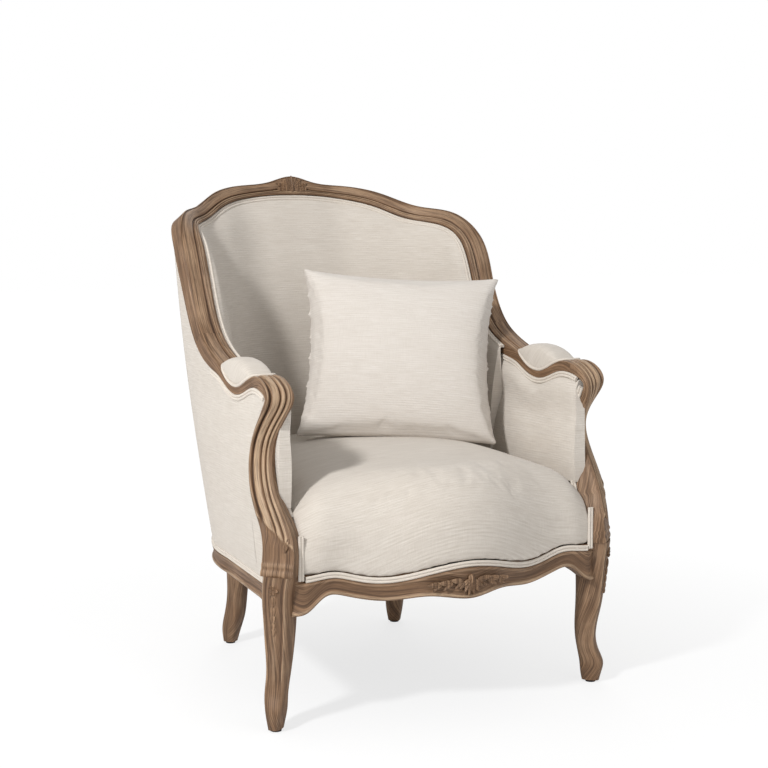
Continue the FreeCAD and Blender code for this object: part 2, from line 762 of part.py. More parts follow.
def seat_deck():
    """Cloth deck over the springs, under the seat's core."""
    low = RAIL_TOP + SPRING_WIRE + 2 * GAP
    deck = plate(frame_outline(36, 28), low, low + DECK_THICK)
    post = arm_post_envelope(2.0)
    return largest(deck.cut(post).cut(mirrored(post)))


def dust_cover():
    """Cloth that closes the frame underneath."""
    cloth = plate(frame_outline(RAIL_THICKNESS + EASE, FRONT_RAIL_THICKNESS + 2 * EASE),
                  RAIL_SHOW_TOP - 8.5, RAIL_SHOW_TOP - 7)
    for cutter in (front_leg(GAP), rear_leg(GAP)):
        cloth = cloth.cut(cutter).cut(mirrored(cutter))
    return largest(cloth)


SPRING_PLACES = [-2, -1, 0, 1, 2]


def spring_ends(x):
    """Front and rear rest of a spring on the rails."""
    depth = FRAME_BACK - TUB_CENTRE_Y
    reach = depth * (1 - (abs(x) / FRAME_HALF_WIDTH) ** FRAME_SQUARENESS) ** (1 / FRAME_SQUARENESS)
    return front_face(x) + 19, TUB_CENTRE_Y + reach - 22


def seat_springs():
    """Wave springs from the front rail to the back rail."""
    springs = []
    for index in SPRING_PLACES:
        x = index * SPRING_SPAN
        front, rear = spring_ends(x)
        half = SPRING_WIRE / 2
        left = [Vector(x - half, front - 6, 0), Vector(x - half, front + 24, 0)]
        right = [Vector(x + half, front - 6, 0), Vector(x + half, front + 24, 0)]
        for i in range(SPRING_WAVES):
            side = SPRING_WAVE if i % 2 else -SPRING_WAVE
            y = front + 50 + (rear - front - 100) * i / (SPRING_WAVES - 1)
            left.append(Vector(x + side - 1.15 * half, y, 0))
            right.append(Vector(x + side + 1.15 * half, y, 0))
        left += [Vector(x - half, rear - 24, 0), Vector(x - half, rear + 4, 0)]
        right += [Vector(x + half, rear - 24, 0), Vector(x + half, rear + 4, 0)]
        low = RAIL_TOP + GAP + 0.1
        springs.append(plate(left + right[::-1], low, low + SPRING_WIRE))
    return Part.makeCompound(springs)


def spring_clips():
    """Clips that hold the spring ends down on the rails."""
    clips = []
    for index in SPRING_PLACES:
        x = index * SPRING_SPAN
        front, rear = spring_ends(x)
        for y in (front, rear):
            low = RAIL_TOP + (0.5 if y == front else 0.0)
            inner = SPRING_WIRE / 2 + 0.6
            high = RAIL_TOP + SPRING_WIRE + 3 * GAP
            ring = [(-9, low), (-9, low + CLIP_THICK), (-inner - CLIP_THICK, low + CLIP_THICK),
                    (-inner - CLIP_THICK, high + CLIP_THICK), (inner + CLIP_THICK, high + CLIP_THICK),
                    (inner + CLIP_THICK, low + CLIP_THICK), (9, low + CLIP_THICK), (9, low),
                    (inner, low), (inner, high), (-inner, high), (-inner, low)]
            wire = polygon([Vector(x + a, y - 5, z) for a, z in ring])
            clips.append(Part.Face(wire).extrude(Vector(0, 10, 0)))
    return Part.makeCompound(clips)


def front_corner_block():
    """Glue block between the side rail, the front rail and the leg."""
    points = rail_ring(RAIL_THICKNESS + GAP, -0.94, -1.15, 2)
    for x in (points[1].x - 14, points[1].x - 60):
        points.append(Vector(x, front_face(x) + FRONT_RAIL_THICKNESS + GAP, 0))
    return largest(plate(points, RAIL_SHOW_TOP - 3, RAIL_TOP - 2).cut(front_leg(GAP)))


def rear_corner_block():
    near = rail_ring(RAIL_THICKNESS + GAP, 0.44, 0.76, 5)
    chord = [mix(near[-1], near[0], 0.9), mix(near[-1], near[0], 0.1)]
    middle = (near[0] + near[-1]) * 0.5 - near[2]
    inner = [p + middle * 0.9 for p in reversed(chord)]
    block = plate(near + inner, RAIL_SHOW_TOP + 2, RAIL_TOP - 2)
    return largest(block.cut(seat_rail_side()).cut(seat_rail_back()))


def screw(make):
    """Wood screw that pulls a front corner block against the side rail, or the bore for it."""
    here, outward = rail_plan(-0.99)
    head = here - outward * (RAIL_THICKNESS + 18) + Vector(0, 0, RAIL_TOP - 18)
    way = Vector(1, -FRAME_FLARE, 0).normalize()
    shank = make(head, way, SCREW_SHANK / 2, SCREW_LENGTH)
    cap = make(head - way * 3.0, way, SCREW_SHANK, 3.0)
    return shank.fuse(cap)


def dowel_lines():
    """Middle and way of the dowels of one side: leg to post and crest to stile."""
    cut = Section(CREST_END)
    return [(Vector(LEG_X - 1, LEG_Y + 0.5, POST_FOOT), Vector(0, 0, 1)),
            (cut.point(0.5, -0.5 * cut.depth), cut.across.cross(cut.front))]


def dowels(make):
    return [make(middle - way * (DOWEL_LENGTH / 2), way, DOWEL / 2, DOWEL_LENGTH) for middle, way in dowel_lines()]


def bored(shape, tools):
    """Shape with holes for the fasteners of one side."""
    for tool in tools:
        shape = shape.cut(tool)
    return largest(shape)


def both(shapes):
    return Part.makeCompound([s for shape in shapes for s in (shape, mirrored(shape))])


def glides():
    front = FRONT_LEG[-1]
    up = Vector(0, 0, 1)
    pads = [rod(Vector(LEG_X + front[1], LEG_Y + front[2], 0), up, GLIDE / 2, LEG_FOOT),
            rod(Vector(REAR_LEG_X + 7, REAR_LEG_Y + REAR_LEG_SPLAY, 0), up, GLIDE / 2, LEG_FOOT)]
    return both(pads)


def cushion(inset):
    """Plump square cushion, thickest in the middle, with its sides drawn in between the corners."""
    sections = []
    half = CUSHION_SIDE / 2 - inset
    for share in (-1, -0.93, -0.75, -0.4, 0, 0.4, 0.75, 0.93, 1):
        plump = (1 - abs(share) ** 2.4) ** 0.62
        drawn = CUSHION_DRAWN_IN * (1 - share * share)
        tall = CUSHION_HEIGHT / 2 - drawn - inset
        thick = (CUSHION_EDGE + 8 + (CUSHION_THICK - CUSHION_EDGE - 8) * plump) / 2 - inset
        low = Vector(share * half, 0, -tall)
        high = Vector(share * half, 0, tall)
        rim = Vector(0, CUSHION_EDGE / 2 - inset * 0.9, 0)
        fore = Part.Arc(low - rim, Vector(share * half, -thick, 0), high - rim)
        rear = Part.Arc(high + rim, Vector(share * half, thick, 0), low + rim)
        sections.append(outline(fore, line(high - rim, high + rim), rear, line(low + rim, low - rim)))
    shape = loft(sections)
    shape.rotate(Vector(0, 0, 0), Vector(0, 1, 0), CUSHION_TIP)
    shape.rotate(Vector(0, 0, 0), Vector(1, 0, 0), -CUSHION_LEAN)
    shape.rotate(Vector(0, 0, 0), Vector(0, 0, 1), CUSHION_TURN)
    shape.translate(CUSHION_MIDDLE)
    return shape


def write(name, shape):
    shape.exportStep("parts/%s.step" % name)
    print(name, shape.isValid(), len(shape.Solids), round(shape.Volume / 1000.0, 1))


def main():
    os.makedirs("parts", exist_ok=True)
    pegs = dowels(bore)
    screw_bore = [screw(bore)]
    paired = {
        "front_leg": bored(front_leg(), pegs[:1]),
        "rear_leg": rear_leg(),
        "arm_post": bored(arm_post(), pegs[:1]),
        "arm_rail": arm_rail(),
        "back_stile": bored(back_stile(), pegs[1:]),
        "seat_rail": bored(seat_rail_side(), screw_bore),
        "front_corner_block": bored(front_corner_block(), screw_bore),
        "rear_corner_block": rear_corner_block(),
        "outside_arm": outside_arm(),
        "inside_arm": inside_arm(),
        "armrest_pad": armrest_pad(),
        "back_upright": upright(),
        "side_stay": side_stay(),
        "arm_tack_rail": arm_tack_rail(),
        "arm_welt": arm_welt(8.95, 13.8, 18),
        "post_welt": arm_welt(16.4, 17.8, 7),
    }
    for name, shape in paired.items():
        write(name + "_left", shape)
        write(name + "_right", mirrored(shape))
    insert = cushion(3.0)
    single = {
        "crest_rail": bored(crest_rail(), pegs[1:] + [mirrored(pegs[1])]),
        "seat_rail_front": seat_rail_front(),
        "seat_rail_back": seat_rail_back(),
        "outside_back": outside_back(),
        "inside_back": inside_back(),
        "seat_core": seat_core(),
        "seat_cover": seat_cover(),
        "seat_deck": seat_deck(),
        "seat_springs": seat_springs(),
        "spring_clips": spring_clips(),
        "dust_cover": dust_cover(),
        "back_welt": back_welt(),
        "front_welt": front_welt(),
        "outside_welt": outside_welt(),
        "back_tack_rail": back_tack_rail(),
        "frame_dowels": both(dowels(rod)),
        "block_screws": both([screw(rod)]),
        "floor_glides": glides(),
        "cushion_insert": insert,
        "cushion_cover": largest(cushion(0.0).cut(insert)),
    }
    for name, shape in single.items():
        write(name, shape)


if __name__ == "__main__":
    main()
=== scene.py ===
"""Looks of the bergere armchair: limed show wood, linen upholstery, welts and a loose cushion.

The chair faces -Y, +X is the sitter's left and +Z is up. Sizes are in millimetres in the classes
below and become metres when a mesh is made.
"""

import json
import logging
import math
from dataclasses import dataclass, field
from enum import Enum
from typing import Callable, Sequence

import bmesh
import bpy
import numpy as np
from mathutils import Matrix, Vector


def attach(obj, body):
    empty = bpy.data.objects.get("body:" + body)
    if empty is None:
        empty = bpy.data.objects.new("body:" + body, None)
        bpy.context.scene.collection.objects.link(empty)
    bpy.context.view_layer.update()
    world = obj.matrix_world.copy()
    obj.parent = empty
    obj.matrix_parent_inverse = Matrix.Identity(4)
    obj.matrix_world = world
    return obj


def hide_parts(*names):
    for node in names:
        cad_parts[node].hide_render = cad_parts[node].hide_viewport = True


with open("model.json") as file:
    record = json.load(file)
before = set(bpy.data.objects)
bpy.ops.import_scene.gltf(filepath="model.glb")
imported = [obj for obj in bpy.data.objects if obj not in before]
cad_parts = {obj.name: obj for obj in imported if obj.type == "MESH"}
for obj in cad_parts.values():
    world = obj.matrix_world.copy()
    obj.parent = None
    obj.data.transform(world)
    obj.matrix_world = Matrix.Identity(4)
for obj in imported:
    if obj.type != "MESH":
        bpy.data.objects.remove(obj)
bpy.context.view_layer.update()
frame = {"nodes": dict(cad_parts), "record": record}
LOG = logging.getLogger("bergere")
MM = 0.001
SIDES = {"left": 1, "right": -1}
UP = Vector((0, 0, 1))
AHEAD = Vector((0, -1, 0))
ASIDE = Vector((1, 0, 0))
Section = tuple[list[Vector], list[float]]


class Lay(Enum):
    """How the threads of a cloth lie: the direction across which the fine lines repeat."""

    UPRIGHT = (0.0, 0.0, 1.0)
    SEAT = (0.0, 0.75, 0.66)
    CUSHION = (0.19, 0.32, 0.93)


def smooth(low: float, high: float, value: float) -> float:
    """Soft step of a value from 0 at low to 1 at high."""
    share = held((value - low) / (high - low))
    return share * share * (3 - 2 * share)


def spread(first: float, last: float, count: int) -> list[float]:
    """Evenly spaced values from first to last."""
    return [first + (last - first) * i / (count - 1) for i in range(count)]


def bump(value: float, low: float, high: float) -> float:
    """Half-round swelling between two places, 1 in its middle."""
    share = (2 * value - low - high) / (high - low)
    return (1 - share * share) ** 0.6 if abs(share) < 1 else 0.0


def held(value: float) -> float:
    """The value, kept from 0 to 1."""
    return min(1.0, max(0.0, value))


def rounded(value: float, power: float) -> float:
    """Power of a value's size, with the value's sign."""
    return math.copysign(abs(value) ** power, value)


def bell(value: float, middle: float, width: float) -> float:
    """Smooth peak of 1 at the middle."""
    return math.exp(-(((value - middle) / width) ** 2))


def beads(table: Sequence[Sequence[float]], at: float) -> float:
    """Height of a moulding, from the height, start and end of each bead or hollow."""
    return sum(tall * bump(at, low, high) for tall, low, high in table)


def turns(count: int) -> list[float]:
    """Angles evenly spaced round a circle."""
    return [2 * math.pi * i / count for i in range(count)]


def squared(c: float, s: float, power: float) -> float:
    """Reach of a rounded square of half width 1 in the direction of a cosine and a sine."""
    return (abs(c) ** power + abs(s) ** power) ** (-1 / power)


def heading(angle: float) -> Vector:
    """Level direction at an angle in radians."""
    return Vector((math.cos(angle), math.sin(angle), 0))


def quarter(way: Vector) -> Vector:
    """Level direction a quarter turn clockwise from another, seen from above."""
    return Vector((way.y, -way.x, 0))


def linear(code: str) -> tuple[float, float, float, float]:
    """Linear colour of a hex code as it looks on a screen.

    Args:
        code: the hex code, with its number sign.

    Returns:
        Red, green, blue and alpha.
    """
    parts = [int(code[i : i + 2], 16) / 255 for i in (1, 3, 5)]
    made = [p / 12.92 if p <= 0.04045 else ((p + 0.055) / 1.055) ** 2.4 for p in parts]
    return (*made, 1.0)


class SmoothLine:
    """Cubic spline through points at given distances."""

    def __init__(self, at: Sequence[float], points: Sequence[Sequence[float]]) -> None:
        """Works out the bend of the spline at each point.

        Args:
            at: growing distance of each point.
            points: the points.
        """
        self.at = np.array(at, float)
        self.points = np.array([list(p) for p in points], float)
        gap = np.diff(self.at)
        count = len(self.at)
        system = np.zeros((count, count))
        right = np.zeros_like(self.points)
        system[0, 0] = system[-1, -1] = 1
        for i in range(1, count - 1):
            system[i, i - 1 : i + 2] = gap[i - 1], 2 * (gap[i - 1] + gap[i]), gap[i]
            ahead = (self.points[i + 1] - self.points[i]) / gap[i]
            behind = (self.points[i] - self.points[i - 1]) / gap[i - 1]
            right[i] = 6 * (ahead - behind)
        self.bend = np.linalg.solve(system, right)

    def numbers(self, at: float) -> np.ndarray:
        """Numbers of the line at a distance.

        Args:
            at: the distance.

        Returns:
            One number for each column of the points.
        """
        i = int(np.clip(np.searchsorted(self.at, at) - 1, 0, len(self.at) - 2))
        gap = self.at[i + 1] - self.at[i]
        a = (self.at[i + 1] - at) / gap
        b = 1 - a
        bent = (a**3 - a) * self.bend[i] + (b**3 - b) * self.bend[i + 1]
        return a * self.points[i] + b * self.points[i + 1] + bent * gap * gap / 6

    def value(self, at: float) -> Vector:
        """Point of the line at a distance."""
        return Vector(self.numbers(at))


def through(points: Sequence[Vector], count: int) -> list[Vector]:
    """Evenly spread points of a smooth line through a few points.

    Args:
        points: the points it goes through.
        count: how many points to return.

    Returns:
        The points of the line, its ends included.
    """
    at = [0.0]
    for one, two in zip(points, points[1:]):
        at.append(at[-1] + (two - one).length)
    line = SmoothLine(at, points)
    return [line.value(value) for value in spread(0.0, at[-1], count)]


@dataclass
class Cut:
    """Cross-section of the show wood: its edges, the way across and the way it faces."""

    inner: Vector
    outer: Vector
    across: Vector
    front: Vector
    depth: float
    width: float

    def point(self, share: float, height: float) -> Vector:
        """Point at a share of the width, at a height over the face."""
        return self.inner + self.across * (share * self.width) + self.front * height

    def beside(self, distance: float, height: float) -> Vector:
        """Point at a distance inward of the inner edge, at a height over the face."""
        return self.inner - self.across * distance + self.front * height


def turned_face(x: float, y: float, z: float, turn: float, width: float) -> tuple[Vector, Vector]:
    """Inner and outer edge of a moulded face that looks forward and is turned outward by some degrees."""
    half = heading(math.radians(turn)) * (width / 2)
    return Vector((x, y, z)) - half, Vector((x, y, z)) + half


@dataclass
class TubPlan:
    """Plans of the tub: the seat frame outside and the padding inside."""

    centre_y: float = -20.0
    frame_half: float = 317.0
    frame_back: float = 322.0
    frame_square: float = 2.15
    flare: float = 0.085
    inner_half: float = 272.0
    inner_back: float = 250.0
    inner_square: float = 2.3
    side_run: float = 250.0
    rail_top: float = 255.0

    def point(self, angle: float, half: float, back: float, square: float) -> Vector:
        """Point of a rounded square about the tub's centre at an angle.

        Args:
            angle: angle in radians.
            half: half width of the plan.
            back: how far back the plan reaches.
            square: power that squares its corners.

        Returns:
            The point, at height 0.
        """
        across = abs(math.cos(angle)) / half
        along = abs(math.sin(angle)) / (back - self.centre_y)
        reach = (across**square + along**square) ** (-1 / square)
        return Vector((reach * math.cos(angle), self.centre_y + reach * math.sin(angle), 0))

    def inside(self, angle: float, outward: float = 0.0) -> Vector:
        """Point of the padding's lower plan."""
        point = self.point(angle, self.inner_half, self.inner_back, self.inner_square)
        return point + heading(angle) * outward

    def rail(self, way: float) -> tuple[Vector, Vector]:
        """Point of the seat frame and the way outward, from the front (-1) to the back (1).

        Args:
            way: -1 at the front, 0 beside the centre, 1 at the back.

        Returns:
            The point and the way outward.
        """
        if way < 0:
            run = -way * self.side_run
            outward = Vector((1, self.flare, 0)).normalized()
            return Vector((self.frame_half + run * self.flare, self.centre_y - run, 0)), outward
        angle = way * math.pi / 2
        here = self.point(angle, self.frame_half, self.frame_back, self.frame_square)
        after = self.point(angle + 0.01, self.frame_half, self.frame_back, self.frame_square)
        along = (after - here).normalized()
        return here, quarter(along)

    def angle_of(self, point: Vector) -> float:
        """Angle of a point about the tub's centre."""
        return math.atan2(point.y - self.centre_y, point.x)


@dataclass
class FrontRailLine:
    """The bowed front rail: how far forward it stands and its upper and lower lines."""

    y: float = -357.0
    bow: float = 61.0
    bow_half: float = 250.0
    top: tuple = ((-320, 274), (-290, 274), (-240, 277), (-200, 268), (-150, 262), (-75, 275), (0, 285))
    low: tuple = ((-320, 212), (-290, 222), (-260, 245), (-223, 244), (-144, 231), (-75, 237), (0, 229))

    def __post_init__(self) -> None:
        """Makes the smooth lines of both edges over the whole width."""
        self.top_line = self._both(self.top)
        self.low_line = self._both(self.low)

    @staticmethod
    def _both(points: tuple) -> SmoothLine:
        """Spline of height over width, the same on both sides."""
        every = list(points) + [(-x, z) for x, z in points[-2::-1]]
        return SmoothLine([x for x, _ in every], [(z, 0) for _, z in every])

    def face(self, x: float) -> float:
        """How far forward the face stands."""
        share = min(abs(x) / self.bow_half, 1.0)
        return self.y - self.bow * (1 + math.cos(math.pi * share)) / 2

    def top_z(self, x: float) -> float:
        """Height of the upper edge."""
        return self.top_line.value(x).x

    def low_z(self, x: float) -> float:
        """Height of the lower edge."""
        return self.low_line.value(x).x


@dataclass
class ShowWoodLine:
    """Path of the show wood from the middle of the crest down to the foot of the post."""

    crest_top: float = 999.0
    crest_front: float = 381.0
    shoulder_out: float = 313.0
    stile_y: float = 146.0
    arm_out: float = 350.0
    arm_in: float = 300.0
    arm_top: float = 630.0
    arm_dip: float = 24.0
    hand_y: float = -322.0
    leg_turn: float = 48.0
    post_foot: float = 288.0

    def __post_init__(self) -> None:
        """Lays splines through the inner edge, the outer edge and the thickness of the keys."""
        keys = self._keys()
        mirrored = [(Vector((-i.x, i.y, i.z)), Vector((-o.x, o.y, o.z)), d) for i, o, d in keys[:0:-1]]
        every = mirrored + keys
        reach = [0.0]
        for one, two in zip(every, every[1:]):
            step = (one[0] + one[1]) / 2 - (two[0] + two[1]) / 2
            reach.append(reach[-1] + step.length)
        half = reach[len(reach) // 2]
        reach = [value - half for value in reach]
        self.inner = SmoothLine(reach, [k[0] for k in every])
        self.outer = SmoothLine(reach, [k[1] for k in every])
        self.thick = SmoothLine(reach, [(k[2], 0) for k in every])
        self.reach = reach[len(reach) // 2 :]

    def _keys(self) -> list[tuple[Vector, Vector, float]]:
        """Inner edge, outer edge and thickness of the key sections of one side.

        Returns:
            The key sections from the middle of the crest downward.
        """
        crest, out, arm_in, arm_out = self.crest_front, self.shoulder_out, self.arm_in, self.arm_out
        low = self.arm_top - self.arm_dip
        plain = [
            ((0, crest, 960), (0, crest + 9, self.crest_top), 34),
            ((48, crest - 1, 959), (50, crest + 8, self.crest_top - 12), 34),
            ((112, crest - 10, 952), (114, crest - 1, 979), 34),
            ((182, 329, 934), (196, 343, 963), 34),
            ((230, 286, 910), (256, 284, 935), 35),
            ((278, 218, 897), (out, 214, 920), 36),
            ((296, self.stile_y, 862), (344, self.stile_y - 4, 866), 36),
            ((298, self.stile_y - 48, 780), (346, self.stile_y - 50, 781), 34),
            ((298.5, 36, 688), (346, 34, 689), 30),
            ((arm_in - 1, -36, 651), (arm_out - 1, -36, 652), 24),
            ((arm_in, -84, self.arm_top + 3), (arm_out, -84, self.arm_top + 3), 17),
            ((arm_in, -120, low + 8), (arm_out, -120, low + 8), 14),
            ((arm_in, -165, low), (arm_out, -165, low), 14),
            ((arm_in, -228, self.arm_top - 2), (arm_out, -228, self.arm_top - 2), 18),
            ((arm_in + 2, -278, self.arm_top), (arm_out + 2, -278, self.arm_top), 18),
        ]
        faces = [
            (330, self.hand_y, self.arm_top - 30, 14, 49, 12),
            (336, self.hand_y + 22, self.arm_top - 68, 38, 47, 15),
            (342, self.hand_y + 57, 505, self.leg_turn, 46, 21),
            (350, -295, 424, self.leg_turn, 52, 37),
            (345, -341, 350, self.leg_turn, 60, 48),
            (350, -345, self.post_foot, self.leg_turn, 62, 53),
        ]
        made = [(Vector(i), Vector(o), d) for i, o, d in plain]
        return made + [(*turned_face(*face[:5]), face[5]) for face in faces]

    def reach_of(self, place: float) -> float:
        """Distance along the wood of a place counted in key sections.

        Args:
            place: the place, negative on the right.

        Returns:
            The distance in millimetres from the middle of the crest.
        """
        side = -1 if place < 0 else 1
        index = min(int(abs(place)), len(self.reach) - 2)
        share = abs(place) - index
        return side * (self.reach[index] + share * (self.reach[index + 1] - self.reach[index]))

    def cut(self, place: float) -> Cut:
        """Cross-section at a place.

        Args:
            place: the place, counted in key sections.

        Returns:
            The section.
        """
        at = self.reach_of(place)
        inner, outer = self.inner.value(at), self.outer.value(at)
        ahead = self.inner.value(at + 1) + self.outer.value(at + 1)
        behind = self.inner.value(at - 1) + self.outer.value(at - 1)
        across = (outer - inner).normalized()
        front = (ahead - behind).cross(across).normalized()
        if abs(place) >= len(self.reach) - 1:
            front = quarter(across).normalized()
        return Cut(inner, outer, across, front, self.thick.value(at).x, (outer - inner).length)


PLAN = TubPlan()
FRONT = FrontRailLine()
WOOD = ShowWoodLine()


class Sweep:
    """A mesh drawn as a chain of rings, each extruded from the last and moved to its own shape."""

    def __init__(self, rings: Sequence[Sequence[Vector]], marks: Sequence[Sequence[float]] | None = None,
                 closed: bool = False) -> None:
        """Builds the chain of rings.

        Args:
            rings: rings of the same number of points, in millimetres.
            marks: a number for each point, kept as the attribute ridge, from which the oak finish paints
                shade where it is low and highlight where it is high.
            closed: True if the last ring joins the first.
        """
        self.bm = bmesh.new()
        layers = self.bm.verts.layers
        corner = layers.int.new("corner")
        self.ridge = layers.float.new("ridge")
        self.along = layers.float.new("along")
        self.around = layers.float.new("around")
        first = [self.bm.verts.new(p * MM) for p in rings[0]]
        for i, vert in enumerate(first):
            vert[corner] = i
        edges = [self.bm.edges.new(pair) for pair in zip(first, first[1:] + first[:1])]
        self._mark(first, corner, rings[0], marks[0] if marks else None, 0.0)
        if not closed:
            self.bm.faces.new(first)
        far, previous, start_edges = 0.0, rings[0], edges
        for index, ring in enumerate(rings[1:], 1):
            made = bmesh.ops.extrude_edge_only(self.bm, edges=edges)["geom"]
            verts = [g for g in made if isinstance(g, bmesh.types.BMVert)]
            known = set(verts)
            for vert in verts:
                vert.co = ring[vert[corner]] * MM
            edges = [g for g in made if isinstance(g, bmesh.types.BMEdge) and set(g.verts) <= known]
            far += sum((a - b).length for a, b in zip(ring, previous)) / len(ring) * MM
            self._mark(verts, corner, ring, marks[index] if marks else None, far)
            previous = ring
        if closed:
            bmesh.ops.bridge_loops(self.bm, edges=edges + start_edges)
        else:
            last = sorted({v for e in edges for v in e.verts}, key=lambda v: v[corner])
            self.bm.faces.new(last)

    def _mark(self, verts: Sequence, corner, ring: Sequence[Vector], marks: Sequence[float] | None,
              far: float) -> None:
        """Keeps each point's distance along and around the piece, and its mark.

        Args:
            verts: the new points.
            corner: layer that holds each point's number in the ring.
            ring: the ring's points, in millimetres.
            marks: their ridge marks, if any.
            far: distance of the ring along the piece, in metres.
        """
        around = [0.0]
        for one, two in zip(ring, ring[1:]):
            around.append(around[-1] + (two - one).length * MM)
        for vert in verts:
            index = vert[corner]
            vert[self.along] = far
            vert[self.around] = around[index]
            vert[self.ridge] = marks[index] if marks else 0.5


def finish_mesh(name: str, bm: bmesh.types.BMesh, sharp: float = 50.0) -> bpy.types.Object:
    """Makes an object of a bmesh, with its faces outward and smooth.

    Args:
        name: the piece's name.
        bm: the mesh, freed here.
        sharp: edges sharper than this angle in degrees stay crisp.

    Returns:
        The new object.
    """
    bmesh.ops.remove_doubles(bm, verts=bm.verts, dist=1e-6)
    bmesh.ops.recalc_face_normals(bm, faces=bm.faces)
    for face in bm.faces:
        face.smooth = True
    mesh = bpy.data.meshes.new(name)
    bm.to_mesh(mesh)
    bm.free()
    mesh.set_sharp_from_angle(angle=math.radians(sharp))
    made = bpy.data.objects.new(name, mesh)
    bpy.context.scene.collection.objects.link(made)
    return made


def flipped(points: Sequence[Vector], side: int) -> list[Vector]:
    """The points, or their mirror image for the other side."""
    return [Vector((p.x * side, p.y, p.z)) for p in points]


class Wire:
    """A shader socket that takes part in arithmetic."""

    def __init__(self, graph: "Graph", socket: bpy.types.NodeSocket) -> None:
        """Keeps the socket and its graph."""
        self.graph = graph
        self.socket = socket

    def __add__(self, other) -> "Wire":
        """Sum."""
        return self.graph.math("ADD", self, other)

    def __sub__(self, other) -> "Wire":
        """Difference."""
        return self.graph.math("SUBTRACT", self, other)

    def __mul__(self, other) -> "Wire":
        """Product."""
        return self.graph.math("MULTIPLY", self, other)

    def __truediv__(self, other) -> "Wire":
        """Quotient."""
        return self.graph.math("DIVIDE", self, other)


class Graph:
    """Node tree of a material or a world, with one method that adds any node."""

    def __init__(self, owner: bpy.types.Material | bpy.types.World) -> None:
        """Starts from the owner's plain nodes.

        Args:
            owner: a new material or world.
        """
        self.owner = owner
        owner.use_nodes = True
        self.tree = owner.node_tree
        self.shader = self.tree.nodes.get("Principled BSDF")

    def node(self, kind: str, settings: dict | None = None, inputs: dict | None = None) -> bpy.types.Node:
        """Adds a node.

        Args:
            kind: the node's type.
            settings: its settings, set first.
            inputs: values or links of its sockets, by name or index.

        Returns:
            The node.
        """
        made = self.tree.nodes.new(kind)
        for key, value in (settings or {}).items():
            setattr(made, key, value)
        for key, value in (inputs or {}).items():
            self.feed(made.inputs[key], value)
        return made

    def wire(self, kind: str, settings: dict | None = None, inputs: dict | None = None,
             out: int | str = 0) -> Wire:
        """Adds a node and gives one of its outputs."""
        return Wire(self, self.node(kind, settings, inputs).outputs[out])

    def feed(self, socket: bpy.types.NodeSocket, value) -> None:
        """Links or sets a socket.

        Args:
            socket: the socket.
            value: a wire to link, or a value to set.
        """
        if isinstance(value, Wire):
            self.tree.links.new(value.socket, socket)
        else:
            socket.default_value = value

    def math(self, kind: str, one, two=0.0, clamp: bool = False) -> Wire:
        """Math node on two values."""
        return self.wire("ShaderNodeMath", {"operation": kind, "use_clamp": clamp}, {0: one, 1: two})

    def place(self) -> Wire:
        """Object coordinates in metres."""
        return self.wire("ShaderNodeTexCoord", out="Object")

    def mark(self, name: str) -> Wire:
        """A number kept on the piece's points."""
        return self.wire("ShaderNodeAttribute", {"attribute_name": name}, out="Fac")

    def along(self, vector: Wire, way: Sequence[float]) -> Wire:
        """How far a point lies along a direction."""
        return self.wire("ShaderNodeVectorMath", {"operation": "DOT_PRODUCT"}, {0: vector,
                                                                                1: tuple(way)}, "Value")

    def vector(self, x, y, z) -> Wire:
        """Vector of three numbers."""
        return self.wire("ShaderNodeCombineXYZ", None, {0: x, 1: y, 2: z})

    def noise(self, vector: Wire, scale: float, detail: float = 2.0, rough: float = 0.5) -> Wire:
        """Smooth noise from 0 to 1."""
        return self.wire("ShaderNodeTexNoise", None,
                         {"Vector": vector, "Scale": scale, "Detail": detail, "Roughness": rough})

    def fit(self, value, low: float, high: float, to_low: float = 0.0, to_high: float = 1.0) -> Wire:
        """Brings a value from one range to another, held inside it."""
        return self.wire("ShaderNodeMapRange", {"clamp": True},
                         {0: value, 1: low, 2: high, 3: to_low, 4: to_high})

    def mix(self, share, one, two) -> Wire:
        """Mixes two colours."""
        return self.wire("ShaderNodeMix", {"data_type": "RGBA", "blend_type": "MIX"},
                         {0: share, 6: one, 7: two}, 2)

    def relief(self, height: Wire, distance: float, strength: float) -> None:
        """Gives the shader a bumped normal."""
        self.feed(self.shader.inputs["Normal"], self.wire(
            "ShaderNodeBump", None, {"Strength": strength, "Distance": distance, "Height": height}))

    def surface(self, **sockets) -> bpy.types.Material:
        """Sets the surface shader's sockets.

        Args:
            sockets: values or links by socket name, with underscores for spaces.

        Returns:
            The material.
        """
        for key, value in sockets.items():
            self.feed(self.shader.inputs[key.replace("_", " ")], value)
        return self.owner


